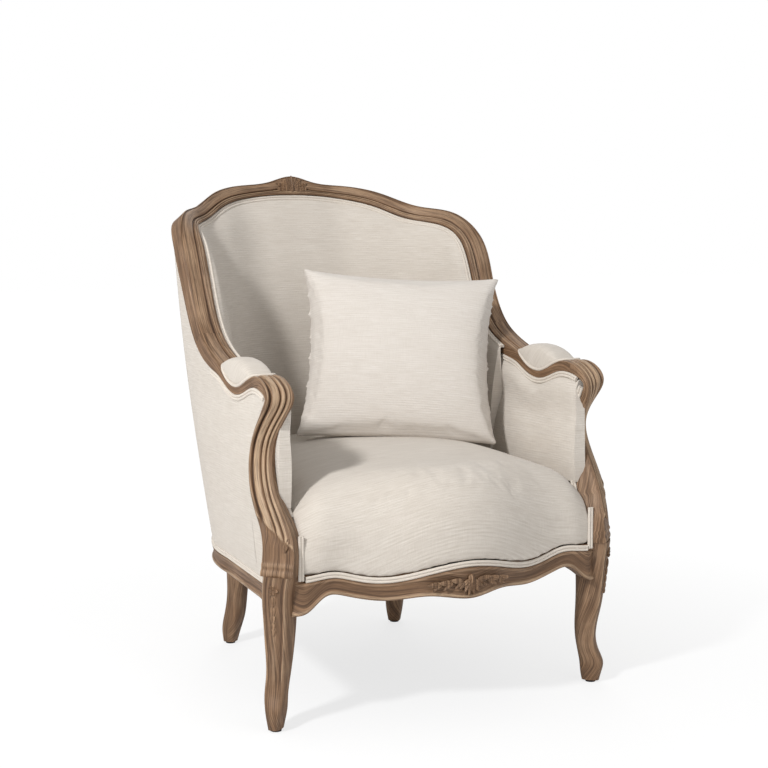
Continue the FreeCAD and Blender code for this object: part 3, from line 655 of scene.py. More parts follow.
@dataclass(frozen=True)
class Linen:
    """Greige slub linen: fine uneven lines of weft, a faint warp and soft mottling."""

    name: str
    lay: Lay = Lay.UPRIGHT
    colour: str = "#d0c9c0"
    shade: str = "#b0a69a"
    pitch: float = 0.0046

    def build(self) -> bpy.types.Material:
        """Builds the material.

        Returns:
            The material.
        """
        g = Graph(bpy.data.materials.new(self.name))
        place = g.place()
        fine = Vector(self.lay.value).normalized()
        side = fine.orthogonal().normalized()
        other = fine.cross(side)
        if self.lay is not Lay.CUSHION:
            side, other = Vector((1, 0, 0)), Vector((0, 1, 0))
        up = g.along(place, fine)
        a, b = g.along(place, side), g.along(place, other)
        drift = g.noise(place, 5.0, 1.0)
        wave = g.math("SINE", (up / self.pitch + drift * 2.0) * 6.2832) * 0.5 + 0.5
        fade = g.fit(g.noise(g.vector(a * 9.0, b * 9.0, up * 60.0), 1.0, 1.0), 0.35, 0.65, 0.25, 1.0)
        lines = wave * fade
        slubs = g.noise(g.vector(a * 34.0 + 7.0, b * 34.0, up * 800.0), 1.0, 1.0)
        warp = g.noise(g.vector(a * 900.0, b * 900.0, up * 40.0), 1.0, 1.0)
        mottle = g.noise(place, 7.0, 3.0)
        tone = (lines - 0.35) * 0.26 + (slubs - 0.5) * 1.1 + (warp - 0.5) * 0.6 + (mottle - 0.5) * 0.4
        share = g.math("ADD", tone * 0.75, 0.62, clamp=True)
        colour = g.mix(share, linear(self.shade), linear(self.colour))
        g.relief(lines * 0.6 + slubs * 0.6 + warp * 0.4, 0.0006, 0.55)
        return g.surface(Base_Color=colour, Roughness=0.93, Sheen_Weight=0.12, Sheen_Roughness=0.6,
                         Specular_IOR_Level=0.2)


@dataclass(frozen=True)
class LimedOak:
    """Weathered oak: streaks along the grain, pale liming in patches, painted highlight on the ridges and
    painted shade in the grooves and on the back faces.
    """

    name: str
    dark: str = "#523d2c"
    body: str = "#8a6a4e"
    # pale liming colour in patches along the grain, also used as painted highlight on the ridges
    wax_and_highlight: str = "#b2967a"
    # painted shade: dark colour laid in the grooves of the mouldings and on the back faces of the wood
    painted_shade: str = "#3a2619"
    # painted highlight: pale colour laid on the tops of the beads
    painted_highlight: str = "#cdb394"
    pits: str = "#3d2b1e"

    def build(self) -> bpy.types.Material:
        """Builds the material.

        Returns:
            The material.
        """
        g = Graph(bpy.data.materials.new(self.name))
        along, around, ridge = g.mark("along"), g.mark("around"), g.mark("ridge")
        place = g.place()
        wander = g.noise(g.vector(around * 30.0, along * 4.0, 0.0), 1.0, 2.0)
        grain = g.noise(g.vector(around * 420.0 + wander * 3.0, along * 9.0, 0.3), 1.0, 4.0, 0.62)
        pores = g.noise(g.vector(around * 1500.0, along * 34.0, 1.7), 1.0, 2.0)
        patch = g.noise(place, 14.0, 3.0)
        streak = g.fit(grain, 0.34, 0.66)
        colour = g.mix(streak, linear(self.dark), linear(self.body))
        # liming in patches along the grain, plus painted highlight where the ridge mark is high
        wax_and_highlight_share = g.fit(grain * 0.55 + patch * 0.45 + (ridge - 0.5) * 0.34, 0.5, 0.78)
        colour = g.mix(wax_and_highlight_share * 0.6, colour, linear(self.wax_and_highlight))
        # painted shade: darker where the ridge mark is low
        hollow = g.fit(ridge, 0.0, 0.42, 0.75, 0.0)
        colour = g.mix(hollow, colour, linear(self.painted_shade))
        # painted highlight: paler where the ridge mark is highest, broken up by the pores
        crest = g.fit(ridge + (pores - 0.5) * 0.5, 0.86, 1.1)
        colour = g.mix(crest * 0.5, colour, linear(self.painted_highlight))
        pitted = g.fit(pores, 0.36, 0.46, 0.45, 0.0)
        colour = g.mix(pitted, colour, linear(self.pits))
        g.relief(grain * 0.7 + pores * 0.5, 0.0008, 0.5)
        rough = g.fit(streak, 0.0, 1.0, 0.62, 0.5)
        return g.surface(Base_Color=colour, Roughness=rough, Specular_IOR_Level=0.35)


@dataclass(frozen=True)
class PlainFinish:
    """A hidden or small part's finish: a colour with fine speckle and a roughness."""

    name: str
    colour: str
    other: str
    rough: float = 0.6
    metal: float = 0.0
    stretch: tuple = (40.0, 40.0, 400.0)

    def build(self) -> bpy.types.Material:
        """Builds the material.

        Returns:
            The material.
        """
        g = Graph(bpy.data.materials.new(self.name))
        stretched = g.wire("ShaderNodeMapping", None, {"Vector": g.place(), "Scale": self.stretch})
        speck = g.noise(stretched, 1.0, 3.0)
        colour = g.mix(g.fit(speck, 0.35, 0.65), linear(self.other), linear(self.colour))
        g.relief(speck, 0.0003, 0.3)
        rough = g.fit(speck, 0.3, 0.7, min(1.0, self.rough + 0.06), self.rough)
        return g.surface(Base_Color=colour, Roughness=rough, Metallic=self.metal)


class Finishes:
    """Every finish of the chair, each built once."""

    def __init__(self) -> None:
        """Builds the materials."""
        self.wood = LimedOak("limed_oak").build()
        self.linen = Linen("linen_upright").build()
        self.seat_linen = Linen("linen_seat", Lay.SEAT).build()
        self.cushion_linen = Linen("linen_cushion", Lay.CUSHION, "#d6d0c9", "#bbb2a8").build()
        self.welt = Linen("linen_welt", Lay.UPRIGHT, "#d6cec4", "#bcb1a3", 0.0016).build()
        plain = {
            "frame_wood": PlainFinish("sawn_beech", "#c49c6c", "#a87f52", 0.7),
            "steel": PlainFinish("spring_steel", "#8d8f92", "#6d6f73", 0.38, 0.9),
            "glide": PlainFinish("felt_glide", "#2a2624", "#1c1918", 0.95),
            "under_cloth": PlainFinish("lining_cloth", "#26252a", "#17171b", 0.95, stretch=(700, 700, 700)),
            "filling": PlainFinish("foam_filling", "#e9dfbf", "#d9cca8", 0.9, stretch=(90, 90, 90)),
        }
        self.plain = {slot: finish.build() for slot, finish in plain.items()}
        self.plain |= {"linen": self.linen, "welt": self.welt, "show_wood": self.wood}


def dress(made: bpy.types.Object, material: bpy.types.Material, body: str, slot: str, *nodes: str) -> None:
    """Gives a new piece its finish, its body and the CAD nodes that it stands for.

    Args:
        made: the piece.
        material: its finish.
        body: the CAD body that it rides on.
        slot: the record's material slot; not used.
        nodes: CAD nodes that it replaces.
    """
    made.data.materials.clear()
    made.data.materials.append(material)
    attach(made, body)
    if nodes:
        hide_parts(*nodes)
    LOG.info("%s: %d faces", made.name, len(made.data.polygons))


def mould(finishes: Finishes, node: str, ending: str, sections: Sequence[Section], side: int = 1,
          sharp: float = 60.0) -> None:
    """Makes a piece of show wood that stands for its CAD node.

    Args:
        finishes: the chair's finishes.
        node: the CAD node.
        ending: what its name ends with.
        sections: points and ridge marks of its sections.
        side: 1, or -1 for the mirror image.
        sharp: edges sharper than this angle in degrees stay crisp.
    """
    sweep = Sweep([flipped(points, side) for points, _ in sections], [marks for _, marks in sections])
    made = finish_mesh(f"{node}_{ending}", sweep.bm, sharp)
    dress(made, finishes.wood, "chair", "show_wood", node)


def merge(bm: bmesh.types.BMesh, part: bmesh.types.BMesh) -> None:
    """Adds a part to a mesh.

    Args:
        bm: mesh that gets the part.
        part: the part, freed here.
    """
    mesh = bpy.data.meshes.new("part")
    part.to_mesh(mesh)
    part.free()
    bm.from_mesh(mesh)
    bpy.data.meshes.remove(mesh)


@dataclass
class ShowWood:
    """Crest, stiles, arm rails and posts with their reeded moulding."""

    finishes: Finishes
    face_steps: int = 48
    side_steps: int = 9
    pieces: dict = field(default_factory=lambda: {
        "crest_rail": (-5.0, 5.0, 150),
        "back_stile": (5.0, 8.0, 60),
        "arm_rail": (8.0, 14.0, 80),
        "arm_post": (14.0, 20.0, 120),
    })
    stile_beads: tuple = (
        (0.8, -0.04, 0.06), (2.3, 0.06, 0.175), (2.3, 0.175, 0.29), (1.9, 0.34, 0.93), (1.0, 0.945, 1.01),
        (-2.4, 0.285, 0.365), (-0.8, 0.915, 0.955),
    )
    post_beads: tuple = (
        (1.6, -0.02, 0.1), (2.8, 0.1, 0.25), (3.0, 0.28, 0.46), (3.4, 0.49, 0.8), (2.2, 0.88, 1.01),
        (-3.6, 0.79, 0.89), (-1.6, 0.24, 0.29), (-1.6, 0.45, 0.5),
    )
    collar: tuple = ((1.8, 19.62, 19.74), (1.8, 19.8, 19.98))
    tail: float = 18.35

    def face_height(self, share: float, place: float) -> float:
        """Height of the moulded face over its plane.

        Args:
            share: how far across the face, from the inner edge.
            place: where along the wood.

        Returns:
            The height in millimetres.
        """
        stile, post = beads(self.stile_beads, share), beads(self.post_beads, share)
        height = stile + (post - stile) * smooth(12.0, 15.0, abs(place))
        tail = self.tail + 0.75 * (1 - share)
        ended = smooth(tail, tail + 0.22, abs(place))
        flutes = 0.35 * math.cos(2 * math.pi * 3 * share) - 0.6
        lip = 1.6 * bell(abs(place) - tail, 0.05, 0.07)
        return height * (1 - ended) + flutes * ended + lip + beads(self.collar, abs(place))

    def ring(self, place: float) -> Section:
        """Section of the wood at a place.

        Args:
            place: where along the wood.

        Returns:
            Its points and their ridge marks.
        """
        cut = WOOD.cut(place)
        points, marks = [], []
        for share in spread(0.0, 1.0, self.face_steps):
            height = self.face_height(share, place)
            edge = 1.2 * (bump(share, -0.03, 0.03) + bump(share, 0.97, 1.03))
            points.append(cut.point(share, height - edge))
            # ridge marks rise with the moulding's height; the oak finish paints highlight on high marks and
            # shade on low ones
            marks.append(held(0.5 + height * 0.19))
        post = smooth(13.0, 15.0, abs(place)) * (1 - smooth(18.6, 18.9, abs(place)))

        def flank(share: float, way: int, steps: Sequence[float]) -> None:
            """Adds one side of the section.

            Args:
                share: 0 for the inner side and 1 for the outer.
                way: the way it swells.
                steps: depths of its points, as shares of the wood's.
            """
            for step in steps:
                swell = 1.4 * post * bump(step % 0.5, 0.06, 0.44)
                points.append(cut.point(share, -step * cut.depth) + cut.across * (way * swell))
                marks.append(0.45 + 0.25 * swell)

        flank(1.0, 1, spread(0.06, 1.0, self.side_steps))
        # the back face gets a low mark, so the oak finish paints shade on it
        for share in spread(0.96, 0.04, 6):
            points.append(cut.point(share, -cut.depth - 0.2))
            marks.append(0.3)
        flank(0.0, -1, spread(1.0, 0.06, self.side_steps))
        return points, marks

    def build(self) -> None:
        """Makes the pieces of both sides."""
        for name, (first, last, count) in self.pieces.items():
            rings = [self.ring(place) for place in spread(first, last, count)]
            for label, side in {"": 1}.items() if name == "crest_rail" else SIDES.items():
                mould(self.finishes, f"{name}_{label}" if label else name, "moulded", rings, side)


@dataclass
class Legs:
    """Cabriole front legs and kicked rear legs."""

    finishes: Finishes
    turn: float = 48.0
    front_at: tuple = (332.0, -328.0)
    front_square: float = 3.2
    rear_turn: float = -37.0
    rear_at: tuple = (191.0, 252.0)
    rear_square: float = 3.6
    steps: int = 56
    front_keys: tuple = (
        (288, 0, 0, 60, 56), (256, -1, 9, 58, 60), (210, -2, 13, 54, 56), (159, -3, 17, 48, 50),
        (94, -3, 26, 40, 40), (62, 2, 23, 38, 41), (40, 5, 16, 33, 46), (20, 5, 17, 27, 41),
        (4, 5, 18, 22, 34),
    )
    rear_keys: tuple = (
        (254.6, 0, 0, 40), (225, 0, 0, 40), (150, -2, -2, 40), (95, -1, 2, 38), (60, 2, 9, 39),
        (35, 5, 16, 36), (4, 7, 20, 26),
    )

    def front_ring(self, key: Sequence[float]) -> Section:
        """Section of the front leg: rounded, with a raised middle and a bead along each edge.

        Args:
            key: its height, its shifts along X and Y, its width and its depth.

        Returns:
            Its points and their ridge marks.
        """
        height, dx, dy, width, depth = key
        across = heading(math.radians(self.turn))
        front = quarter(across)
        middle = Vector((self.front_at[0] + dx, self.front_at[1] + dy, height))
        knee = smooth(60, 110, height)
        points, marks = [], []
        for angle in turns(self.steps):
            c, s = math.cos(angle), math.sin(angle)
            off = abs((math.degrees(angle) % 360) - 90)
            bead = 0.05 * bell(off, 40, 4.5) - 0.05 * bell(off, 31, 5)
            spine = 0.035 * bell(off, 0, 9) - 0.025 * bell(off, 16, 5)
            swell = (bead * 1.4 + spine * knee) * (0.4 + 0.6 * knee)
            grown = squared(c, s, self.front_square) * (1 + swell)
            points.append(middle + across * (c * grown * width / 2) + front * (s * grown * depth / 2))
            marks.append(held(0.5 + swell * 9))
        return points, marks

    def rear_ring(self, key: Sequence[float]) -> Section:
        """Section of the rear leg: a rounded square turned with the back.

        Args:
            key: its height, its shifts along X and Y, and its size.

        Returns:
            Its points and their ridge marks.
        """
        height, dx, dy, size = key
        middle = Vector((self.rear_at[0] + dx, self.rear_at[1] + dy, height))
        cos, sin = math.cos(math.radians(self.rear_turn)), math.sin(math.radians(self.rear_turn))
        points, marks = [], []
        for angle in turns(self.steps):
            c, s = math.cos(angle), math.sin(angle)
            reach = squared(c, s, self.rear_square) * size / 2
            x, y = c * reach, s * reach
            points.append(middle + Vector((x * cos - y * sin, x * sin + y * cos, 0)))
            marks.append(0.62 if abs(c * s) > 0.4 else 0.48)
        return points, marks

    @staticmethod
    def between(keys: Sequence[Sequence[float]], count: int) -> list[tuple[float, ...]]:
        """Smoothly spaced sections between the key heights."""
        line = SmoothLine([-k[0] for k in keys], keys)
        return [tuple(line.numbers(height)) for height in spread(-keys[0][0], -keys[-1][0], count)]

    def build(self) -> None:
        """Makes the four legs."""
        for name, keys, ring, count in (("front_leg", self.front_keys, self.front_ring, 110),
                                        ("rear_leg", self.rear_keys, self.rear_ring, 80)):
            rings = [ring(key) for key in self.between(keys, count)]
            for label, side in SIDES.items():
                mould(self.finishes, f"{name}_{label}", "shaped", rings, side)


@dataclass
class SeatRails:
    """Front, side and back rails with beads along both edges."""

    finishes: Finishes
    rebate: float = 8.0
    top: float = 286.0

    def front_ring(self, x: float) -> Section:
        """Section of the front rail.

        Args:
            x: where across the chair.

        Returns:
            Its points and their ridge marks.
        """
        face = FRONT.face(x) - 4.0 * bell(x, 0, 60.0) + 16.0 * smooth(286, 324, abs(x)) ** 2
        low, high = FRONT.low_z(x), FRONT.top_z(x)
        points, marks = [Vector((x, FRONT.face(x) + 32, low)), Vector((x, face + 3, low))], [0.3, 0.4]
        for share in spread(0.0, 1.0, 26):
            z = low + share * (high - low)
            over = (z - low) / 9.0
            under = (high - z) / 6.0
            height = 2.4 * bump(over, 0.0, 1.0) + 1.8 * bump(under, 0.0, 1.0) - 1.2 * bump(share, 0.22, 0.8)
            points.append(Vector((x, face + 2 - height, z)))
            marks.append(held(0.5 + height * 0.2))
        back = FRONT.face(x)
        edge, top = high + 0.2, self.top + 0.5
        for y, z in ((face + 3, edge), (back + self.rebate, edge), (back + self.rebate, top),
                     (back + 32, top)):
            points.append(Vector((x, y, z)))
            marks.append(0.4)
        return points, marks

    def side_ring(self, way: float) -> Section:
        """Section of the side or back rail.

        Args:
            way: where round the frame, from -1 at the front to 1 at the back.

        Returns:
            Its points and their ridge marks.
        """
        here, outward = PLAN.rail(min(way, 2 - way) if way > 1 else way)
        if way > 1:
            here.x, outward.x = -here.x, -outward.x
        low = 225.0 - 22.0 * max(0.0, (-way - 0.8) / 0.4) ** 2
        points, marks = [], []

        def add(out: float, z: float, mark: float) -> None:
            """Adds a point of the section."""
            points.append(here + outward * out + UP * z)
            marks.append(mark)

        add(-30, low, 0.3)
        add(-3, low, 0.4)
        for share in spread(0.0, 1.0, 18):
            z = low + share * (PLAN.rail_top - low)
            height = 2.2 * bump((z - low) / 8.0, 0.0, 1.0) + 1.4 * bump((PLAN.rail_top - z) / 5.0, 0.0, 1.0)
            height -= 0.9 * bump(share, 0.3, 0.8)
            add(-2 + height, z, held(0.5 + height * 0.2))
        add(-7, PLAN.rail_top + 0.2, 0.4)
        add(-7, self.top, 0.4)
        add(-30, self.top, 0.3)
        return points, marks

    def build(self) -> None:
        """Makes the four rails."""
        rings = [self.front_ring(x) for x in spread(-319, 319, 170)]
        mould(self.finishes, "seat_rail_front", "moulded", rings, sharp=55)
        rings = [self.side_ring(way) for way in spread(-1.16, 0.6, 90)]
        for label, side in SIDES.items():
            mould(self.finishes, f"seat_rail_{label}", "moulded", rings, side, 55)
        rings = [self.side_ring(way) for way in spread(0.602, 1.398, 60)]
        mould(self.finishes, "seat_rail_back", "moulded", rings, sharp=55)


@dataclass
class Carving:
    """Carved leaves of the crest, the front rail, the knees and the posts."""

    finishes: Finishes

    @staticmethod
    def leaf(bm: bmesh.types.BMesh, root: Vector, along: Vector, out: Vector, sizes: Sequence[float]) -> None:
        """Adds one leaf with a groove down its middle.

        Args:
            bm: mesh that gets the leaf.
            root: its root, in millimetres.
            along: the way it points.
            out: the way it stands out of the wood.
            sizes: length, width and height.
        """
        length, width, height = sizes
        along = along.normalized()
        out = (out - along * out.dot(along)).normalized()
        side = out.cross(along)
        found = bmesh.ops.create_uvsphere(bm, u_segments=20, v_segments=14, radius=1.0)["verts"]
        for vert in found:
            x, y, z = vert.co.z, vert.co.x, vert.co.y
            share = (x + 1) / 2
            wide = width / 2 * (1 - 0.62 * share**1.6)
            tall = height * (1 + 0.25 * math.cos(3 * math.pi * y)) * (1 - 0.25 * share)
            curl = height * 0.5 * share * share
            vert.co = (root + along * (length * share) + side * (y * wide) + out * (z * tall + curl)) * MM

    def crest(self, bm: bmesh.types.BMesh) -> None:
        """Fan of leaves over the middle of the crest.

        Args:
            bm: mesh that gets the leaves.
        """
        cut = WOOD.cut(0.0)
        root = cut.point(0.28, 1.0)
        for angle, length in ((0, 32), (24, 31), (48, 33), (72, 42), (90, 40)):
            for side in (1, -1) if angle else (1,):
                turn = math.radians(side * angle)
                way = cut.across * math.cos(turn) + ASIDE * math.sin(turn)
                self.leaf(bm, root + way * 4, way, cut.front, (length - 6, 15, 3.6))
        self.leaf(bm, root - cut.across * 7, cut.across, cut.front, (16, 13, 5.0))

    def front_rail(self, bm: bmesh.types.BMesh) -> None:
        """Shell and side leaves in the middle of the front rail.

        Args:
            bm: mesh that gets the leaves.
        """
        root = Vector((0, FRONT.face(0) - 4, 264))
        for angle in (-60, -36, -12, 12, 36, 60):
            turn = math.radians(angle)
            self.leaf(bm, root, ASIDE * math.sin(turn) - UP * math.cos(turn), AHEAD, (29, 13, 3.4))
        for side in (-1, 1):
            for start, rise in ((14, 0.18), (36, 0.1), (56, 0.02)):
                spot = Vector((side * start, FRONT.face(start) - 3.2, 262 - start * 0.06))
                self.leaf(bm, spot, Vector((side, 0.0, rise)), AHEAD, (30, 13, 3.0))
                self.leaf(bm, spot, Vector((side, 0.0, -0.55)), AHEAD, (22, 9, 2.6))
        self.leaf(bm, root + UP * 10, -UP, AHEAD, (17, 14, 5))

    def knee(self, bm: bmesh.types.BMesh, side: int) -> None:
        """Rosette and chain of husks on a knee, and the leaf that ends the post's ridges.

        Args:
            bm: mesh that gets the leaves.
            side: 1 for the left and -1 for the right.
        """
        legs = Legs(self.finishes)
        across = heading(math.radians(legs.turn))
        front = quarter(across)
        keys = {key[0]: key for key in legs.between(legs.front_keys, 285)}

        def face(height: float) -> Vector:
            """Point on the leg's front at a height."""
            _, dx, dy, _, depth = keys[min(keys, key=lambda known: abs(known - height))]
            return Vector((legs.front_at[0] + dx, legs.front_at[1] + dy, height)) + front * (depth / 2 + 0.4)

        made = bmesh.new()
        for angle in range(0, 360, 60):
            turn = math.radians(angle)
            self.leaf(made, face(264), across * math.cos(turn) + UP * math.sin(turn), front, (11, 9, 2.8))
        for height, length in ((252, 21), (235, 19), (219, 17), (205, 15), (193, 13)):
            self.leaf(made, face(height), face(height - 10) - face(height), front, (length, 12, 3.0))
        cut = WOOD.cut(18.9)
        root = cut.point(0.12, 1.0)
        self.leaf(made, root, WOOD.cut(19.35).point(0.3, 1.0) - root, cut.front, (26, 15, 3.4))
        for vert in made.verts:
            vert.co.x *= side
        merge(bm, made)

    def build(self) -> None:
        """Makes every carving."""
        for name, maker in (("crest_carving", self.crest), ("front_rail_carving", self.front_rail),
                            ("knee_carving_left", lambda bm: self.knee(bm, 1)),
                            ("knee_carving_right", lambda bm: self.knee(bm, -1))):
            bm = bmesh.new()
            maker(bm)
            along, around, ridge = (bm.verts.layers.float.new(mark) for mark in ("along", "around", "ridge"))
            for vert in bm.verts:
                vert[along], vert[around], vert[ridge] = vert.co.z, vert.co.x, 0.58
            dress(finish_mesh(name, bm), self.finishes.wood, "chair", "show_wood")


class Puff:
    """Short cloth simulation that fills a padded piece and creases its skin."""

    def __init__(self, voxel: float, pressure: float, cap: float, frames: int = 20) -> None:
        """Keeps the settings.

        Args:
            voxel: size of the remeshed cells in metres.
            pressure: the cloth's inner pressure.
            cap: how far a point may move, in metres.
            frames: how many frames the cloth runs.
        """
        self.voxel = voxel
        self.pressure = pressure
        self.cap = cap
        self.frames = frames

    def run(self, made: bpy.types.Object, hold: Callable[[Vector], float] | None = None) -> None:
        """Fills the piece in place.

        Args:
            made: the piece.
            hold: how much of the movement a point keeps, from 0 to 1.
        """
        remesh = made.modifiers.new("cells", "REMESH")
        remesh.mode = "VOXEL"
        remesh.voxel_size = self.voxel
        remesh.use_smooth_shade = True
        even = made.modifiers.new("even", "SMOOTH")
        even.factor = 0.5
        even.iterations = 8
        self._apply(made)
        rest = np.empty(len(made.data.vertices) * 3)
        made.data.vertices.foreach_get("co", rest)
        rest = rest.reshape(-1, 3)
        moved = self._simulate(made)
        step = moved - rest
        length = np.linalg.norm(step, axis=1)
        share = np.minimum(1.0, self.cap / np.maximum(length, 1e-9))
        if hold is not None:
            share = share * np.array([hold(Vector(p)) for p in rest])
        made.data.vertices.foreach_set("co", (rest + step * share[:, None]).ravel())
        finer = made.modifiers.new("finer", "SUBSURF")
        finer.levels = finer.render_levels = 1
        self._apply(made)
        for face in made.data.polygons:
            face.use_smooth = True

    @staticmethod
    def _apply(made: bpy.types.Object) -> None:
        """Makes the piece's modifiers part of its mesh.

        Args:
            made: the piece.
        """
        graph = bpy.context.evaluated_depsgraph_get()
        graph.update()
        mesh = bpy.data.meshes.new_from_object(made.evaluated_get(graph))
        made.modifiers.clear()
        old = made.data
        made.data = mesh
        bpy.data.meshes.remove(old)
        mesh.name = made.name

    def _simulate(self, made: bpy.types.Object) -> np.ndarray:
        """Runs the cloth.

        Args:
            made: the piece.

        Returns:
            Where its points end.
        """
        cloth = made.modifiers.new("cloth", "CLOTH")
        settings = cloth.settings
        settings.quality = 5
        settings.mass = 0.3
        settings.tension_stiffness = settings.compression_stiffness = 12
        settings.shear_stiffness = 6
        settings.bending_stiffness = 0.4
        settings.use_pressure = True
        settings.uniform_pressure_force = self.pressure
        settings.effector_weights.gravity = 0
        cloth.point_cache.frame_start, cloth.point_cache.frame_end = 1, self.frames
        scene = bpy.context.scene
        for number in range(1, self.frames + 1):
            scene.frame_set(number)
        graph = bpy.context.evaluated_depsgraph_get()
        mesh = made.evaluated_get(graph).to_mesh()
        moved = np.empty(len(mesh.vertices) * 3)
        mesh.vertices.foreach_get("co", moved)
        made.evaluated_get(graph).to_mesh_clear()
        made.modifiers.remove(cloth)
        scene.frame_set(1)
        return moved.reshape(-1, 3)


@dataclass
class Upholstery:
    """Seat, inside back, inside arms, armrest pads and outside covers."""

    finishes: Finishes
    welt: float = 11.0
    pad_bottom: float = 400.0
    pad_thick: float = 34.0
    pad_edge: float = 12.0
    back_crown: float = 27.0
    arm_crown: float = 10.0
    seat_crown: float = 468.0
    seat_fall: float = 58.0
    seat_front_half: float = 306.0
    seat_rear_half: float = 259.0
    cover: float = 5.0
    post_from: float = 12.75
    edge_from: float = 15.7
    edge_run: float = 3.9
    seam: float = 4.4
    arm_ends: tuple = (-20.0, -300.0)
    foot_half: float = 275.0
    foot_flare: float = 28.0
    foot_y: float = -42.0
    pad_half: float = 25.8
    pad_line: tuple = ((-242, 632), (-205, 648), (-158, 657.5), (-110, 655), (-68, 645))

    @property
    def cover_foot(self) -> Vector:
        """The way up to the lower edge of the outer covers."""
        return UP * (PLAN.rail_top + self.welt + 1.0)

    def inside_rib(self, place: float) -> list[Vector]:
        """Closed section of the inside back at a place of the show wood.

        Args:
            place: the place, counted in key sections.

        Returns:
            Its points.
        """
        cut = WOOD.cut(place)
        front = cut.beside(self.welt - 0.8, -6)
        angle = PLAN.angle_of(front)
        radial = heading(angle)
        away = (radial * (-cut.front.dot(radial)) + Vector((0, 0, -cut.front.z))).normalized()
        back = front + away * self.pad_edge
        low_front = PLAN.inside(angle) + UP * self.pad_bottom
        low_back = PLAN.inside(angle, self.pad_thick) + UP * self.pad_bottom
        crown = self.back_crown * math.sin(math.pi / 2 * min(1.0, (10.5 - abs(place)) / 5.0))
        padded = ((0, 0), (0.03, 0.26), (0.12, 0.6), (0.3, 0.92), (0.6, 1.0), (0.85, 0.6), (1, 0))
        face = through([front.lerp(low_front, t) - radial * (crown * c) for t, c in padded], 60)
        rear = [low_back.lerp(back, t) for t in spread(0.0, 1.0, 14)]
        return face + rear

    def inside_back(self) -> None:
        """Makes the padded inside back."""
        rings = [self.inside_rib(place) for place in spread(-9.0, 9.0, 150)]
        made = finish_mesh("inside_back_padded", Sweep(rings).bm)
        dress(made, self.finishes.linen, "chair", "linen", "inside_back")

    def arm_foot(self, y: float) -> float:
        """Half width between the lower edges of the inner arms."""
        return self.foot_half + self.foot_flare * (y - self.foot_y) / (WOOD.hand_y - self.foot_y)

    def arm_underside(self, y: float) -> float:
        """Height of the arm rail's underside at a distance to the front.

        Args:
            y: the distance to the front.

        Returns:
            The height.
        """
        low, high = 8.2, 14.9
        for _ in range(24):
            middle = (low + high) / 2
            if WOOD.cut(middle).inner.y > y:
                low = middle
            else:
                high = middle
        return WOOD.cut(low).point(0, -WOOD.cut(low).depth).z

    def inside_arm(self, label: str, side: int) -> None:
        """Makes one padded inner arm.

        Args:
            label: the side's name.
            side: 1 for the left and -1 for the right.
        """
        rings = []
        rear, front = self.arm_ends
        for y in spread(rear, front, 64):
            share = (y - rear) / (front - rear)
            top = self.arm_underside(max(y, -296)) - self.welt + 1.5
            low = self.arm_foot(y)
            round_off = 2.4 * smooth(0.94, 1.0, share)
            crown = self.arm_crown * (0.5 + 0.5 * math.sin(math.pi * share)) - round_off
            turn = 4.0 * smooth(0.72, 1.0, share)
            face = [Vector((WOOD.arm_in + 4 + turn, y, top)),
                    Vector((WOOD.arm_in - crown * 0.7 + turn, y, top - 12)),
                    Vector((WOOD.arm_in - crown + turn, y, top - 60)),
                    Vector(((low + WOOD.arm_in - 4) / 2 - crown + turn, y, 500)),
                    Vector((low - 2 + turn * 0.5, y, self.pad_bottom))]
            foot, head = Vector((low + 24, y, self.pad_bottom)), Vector((WOOD.arm_in + 20, y, top))
            rings.append(through(face, 44) + [foot.lerp(head, t) for t in spread(0.0, 1.0, 12)])
        made = finish_mesh(f"inside_arm_{label}_padded", Sweep([flipped(r, side) for r in rings]).bm)
        dress(made, self.finishes.linen, "chair", "linen", f"inside_arm_{label}")

    def seat_ring(self, share: float) -> list[Vector]:
        """Upright section of the crowned seat.

        Args:
            share: how far across the seat, from -1 to 1.

        Returns:
            Its points.
        """
        x = share * self.seat_front_half
        edge = smooth(0.82, 1.0, abs(share)) ** 1.5
        front = Vector((x, FRONT.face(x) + 1.5 + 9 * edge, 0))
        spread_out = (abs(share) * self.seat_rear_half / (PLAN.inner_half - 10)) ** PLAN.inner_square
        reach = (PLAN.inner_back - 10 - PLAN.centre_y) * max(0.0, 1 - spread_out) ** (1 / PLAN.inner_square)
        rear = Vector((share * self.seat_rear_half, PLAN.centre_y + reach, 0))
        crown = self.seat_crown - self.seat_fall * abs(share) ** 3.2 - 14 * edge
        foot = FRONT.top_z(x) + self.welt + 0.8
        rise = crown - foot
        length = (front - rear).length
        along = (rear - front).normalized()

        def at(distance: float, z: float) -> Vector:
            """Point at a distance from the front."""
            return front + along * distance + UP * z

        lip = ((0, 0.0), (-6, 0.28), (-2, 0.5), (11, 0.72), (36, 0.89))
        crowned = ((0.16, 0.05 * rise), (0.42, 0), (0.68, 2), (0.88, 12))
        top = through([at(distance, foot + part * rise) for distance, part in lip]
                      + [at(part * length, crown - drop) for part, drop in crowned]
                      + [at(length - 7, crown - 28), at(length, crown - 60)], 96)
        base = foot + 3.0
        under = [at(length, base), at(0.66 * length, base), at(0.33 * length, base), at(24, base),
                 at(22, foot)]
        return top + under

    def seat(self) -> None:
        """Makes the crowned seat."""
        rings = [self.seat_ring(share) for share in spread(-1.0, 1.0, 110)]
        made = finish_mesh("seat_cover_crowned", Sweep(rings).bm)
        Puff(0.006, 3.0, 0.003).run(made, lambda p: smooth(0.30, 0.36, p.z))
        dress(made, self.finishes.seat_linen, "chair", "linen", "seat_cover", "seat_core")

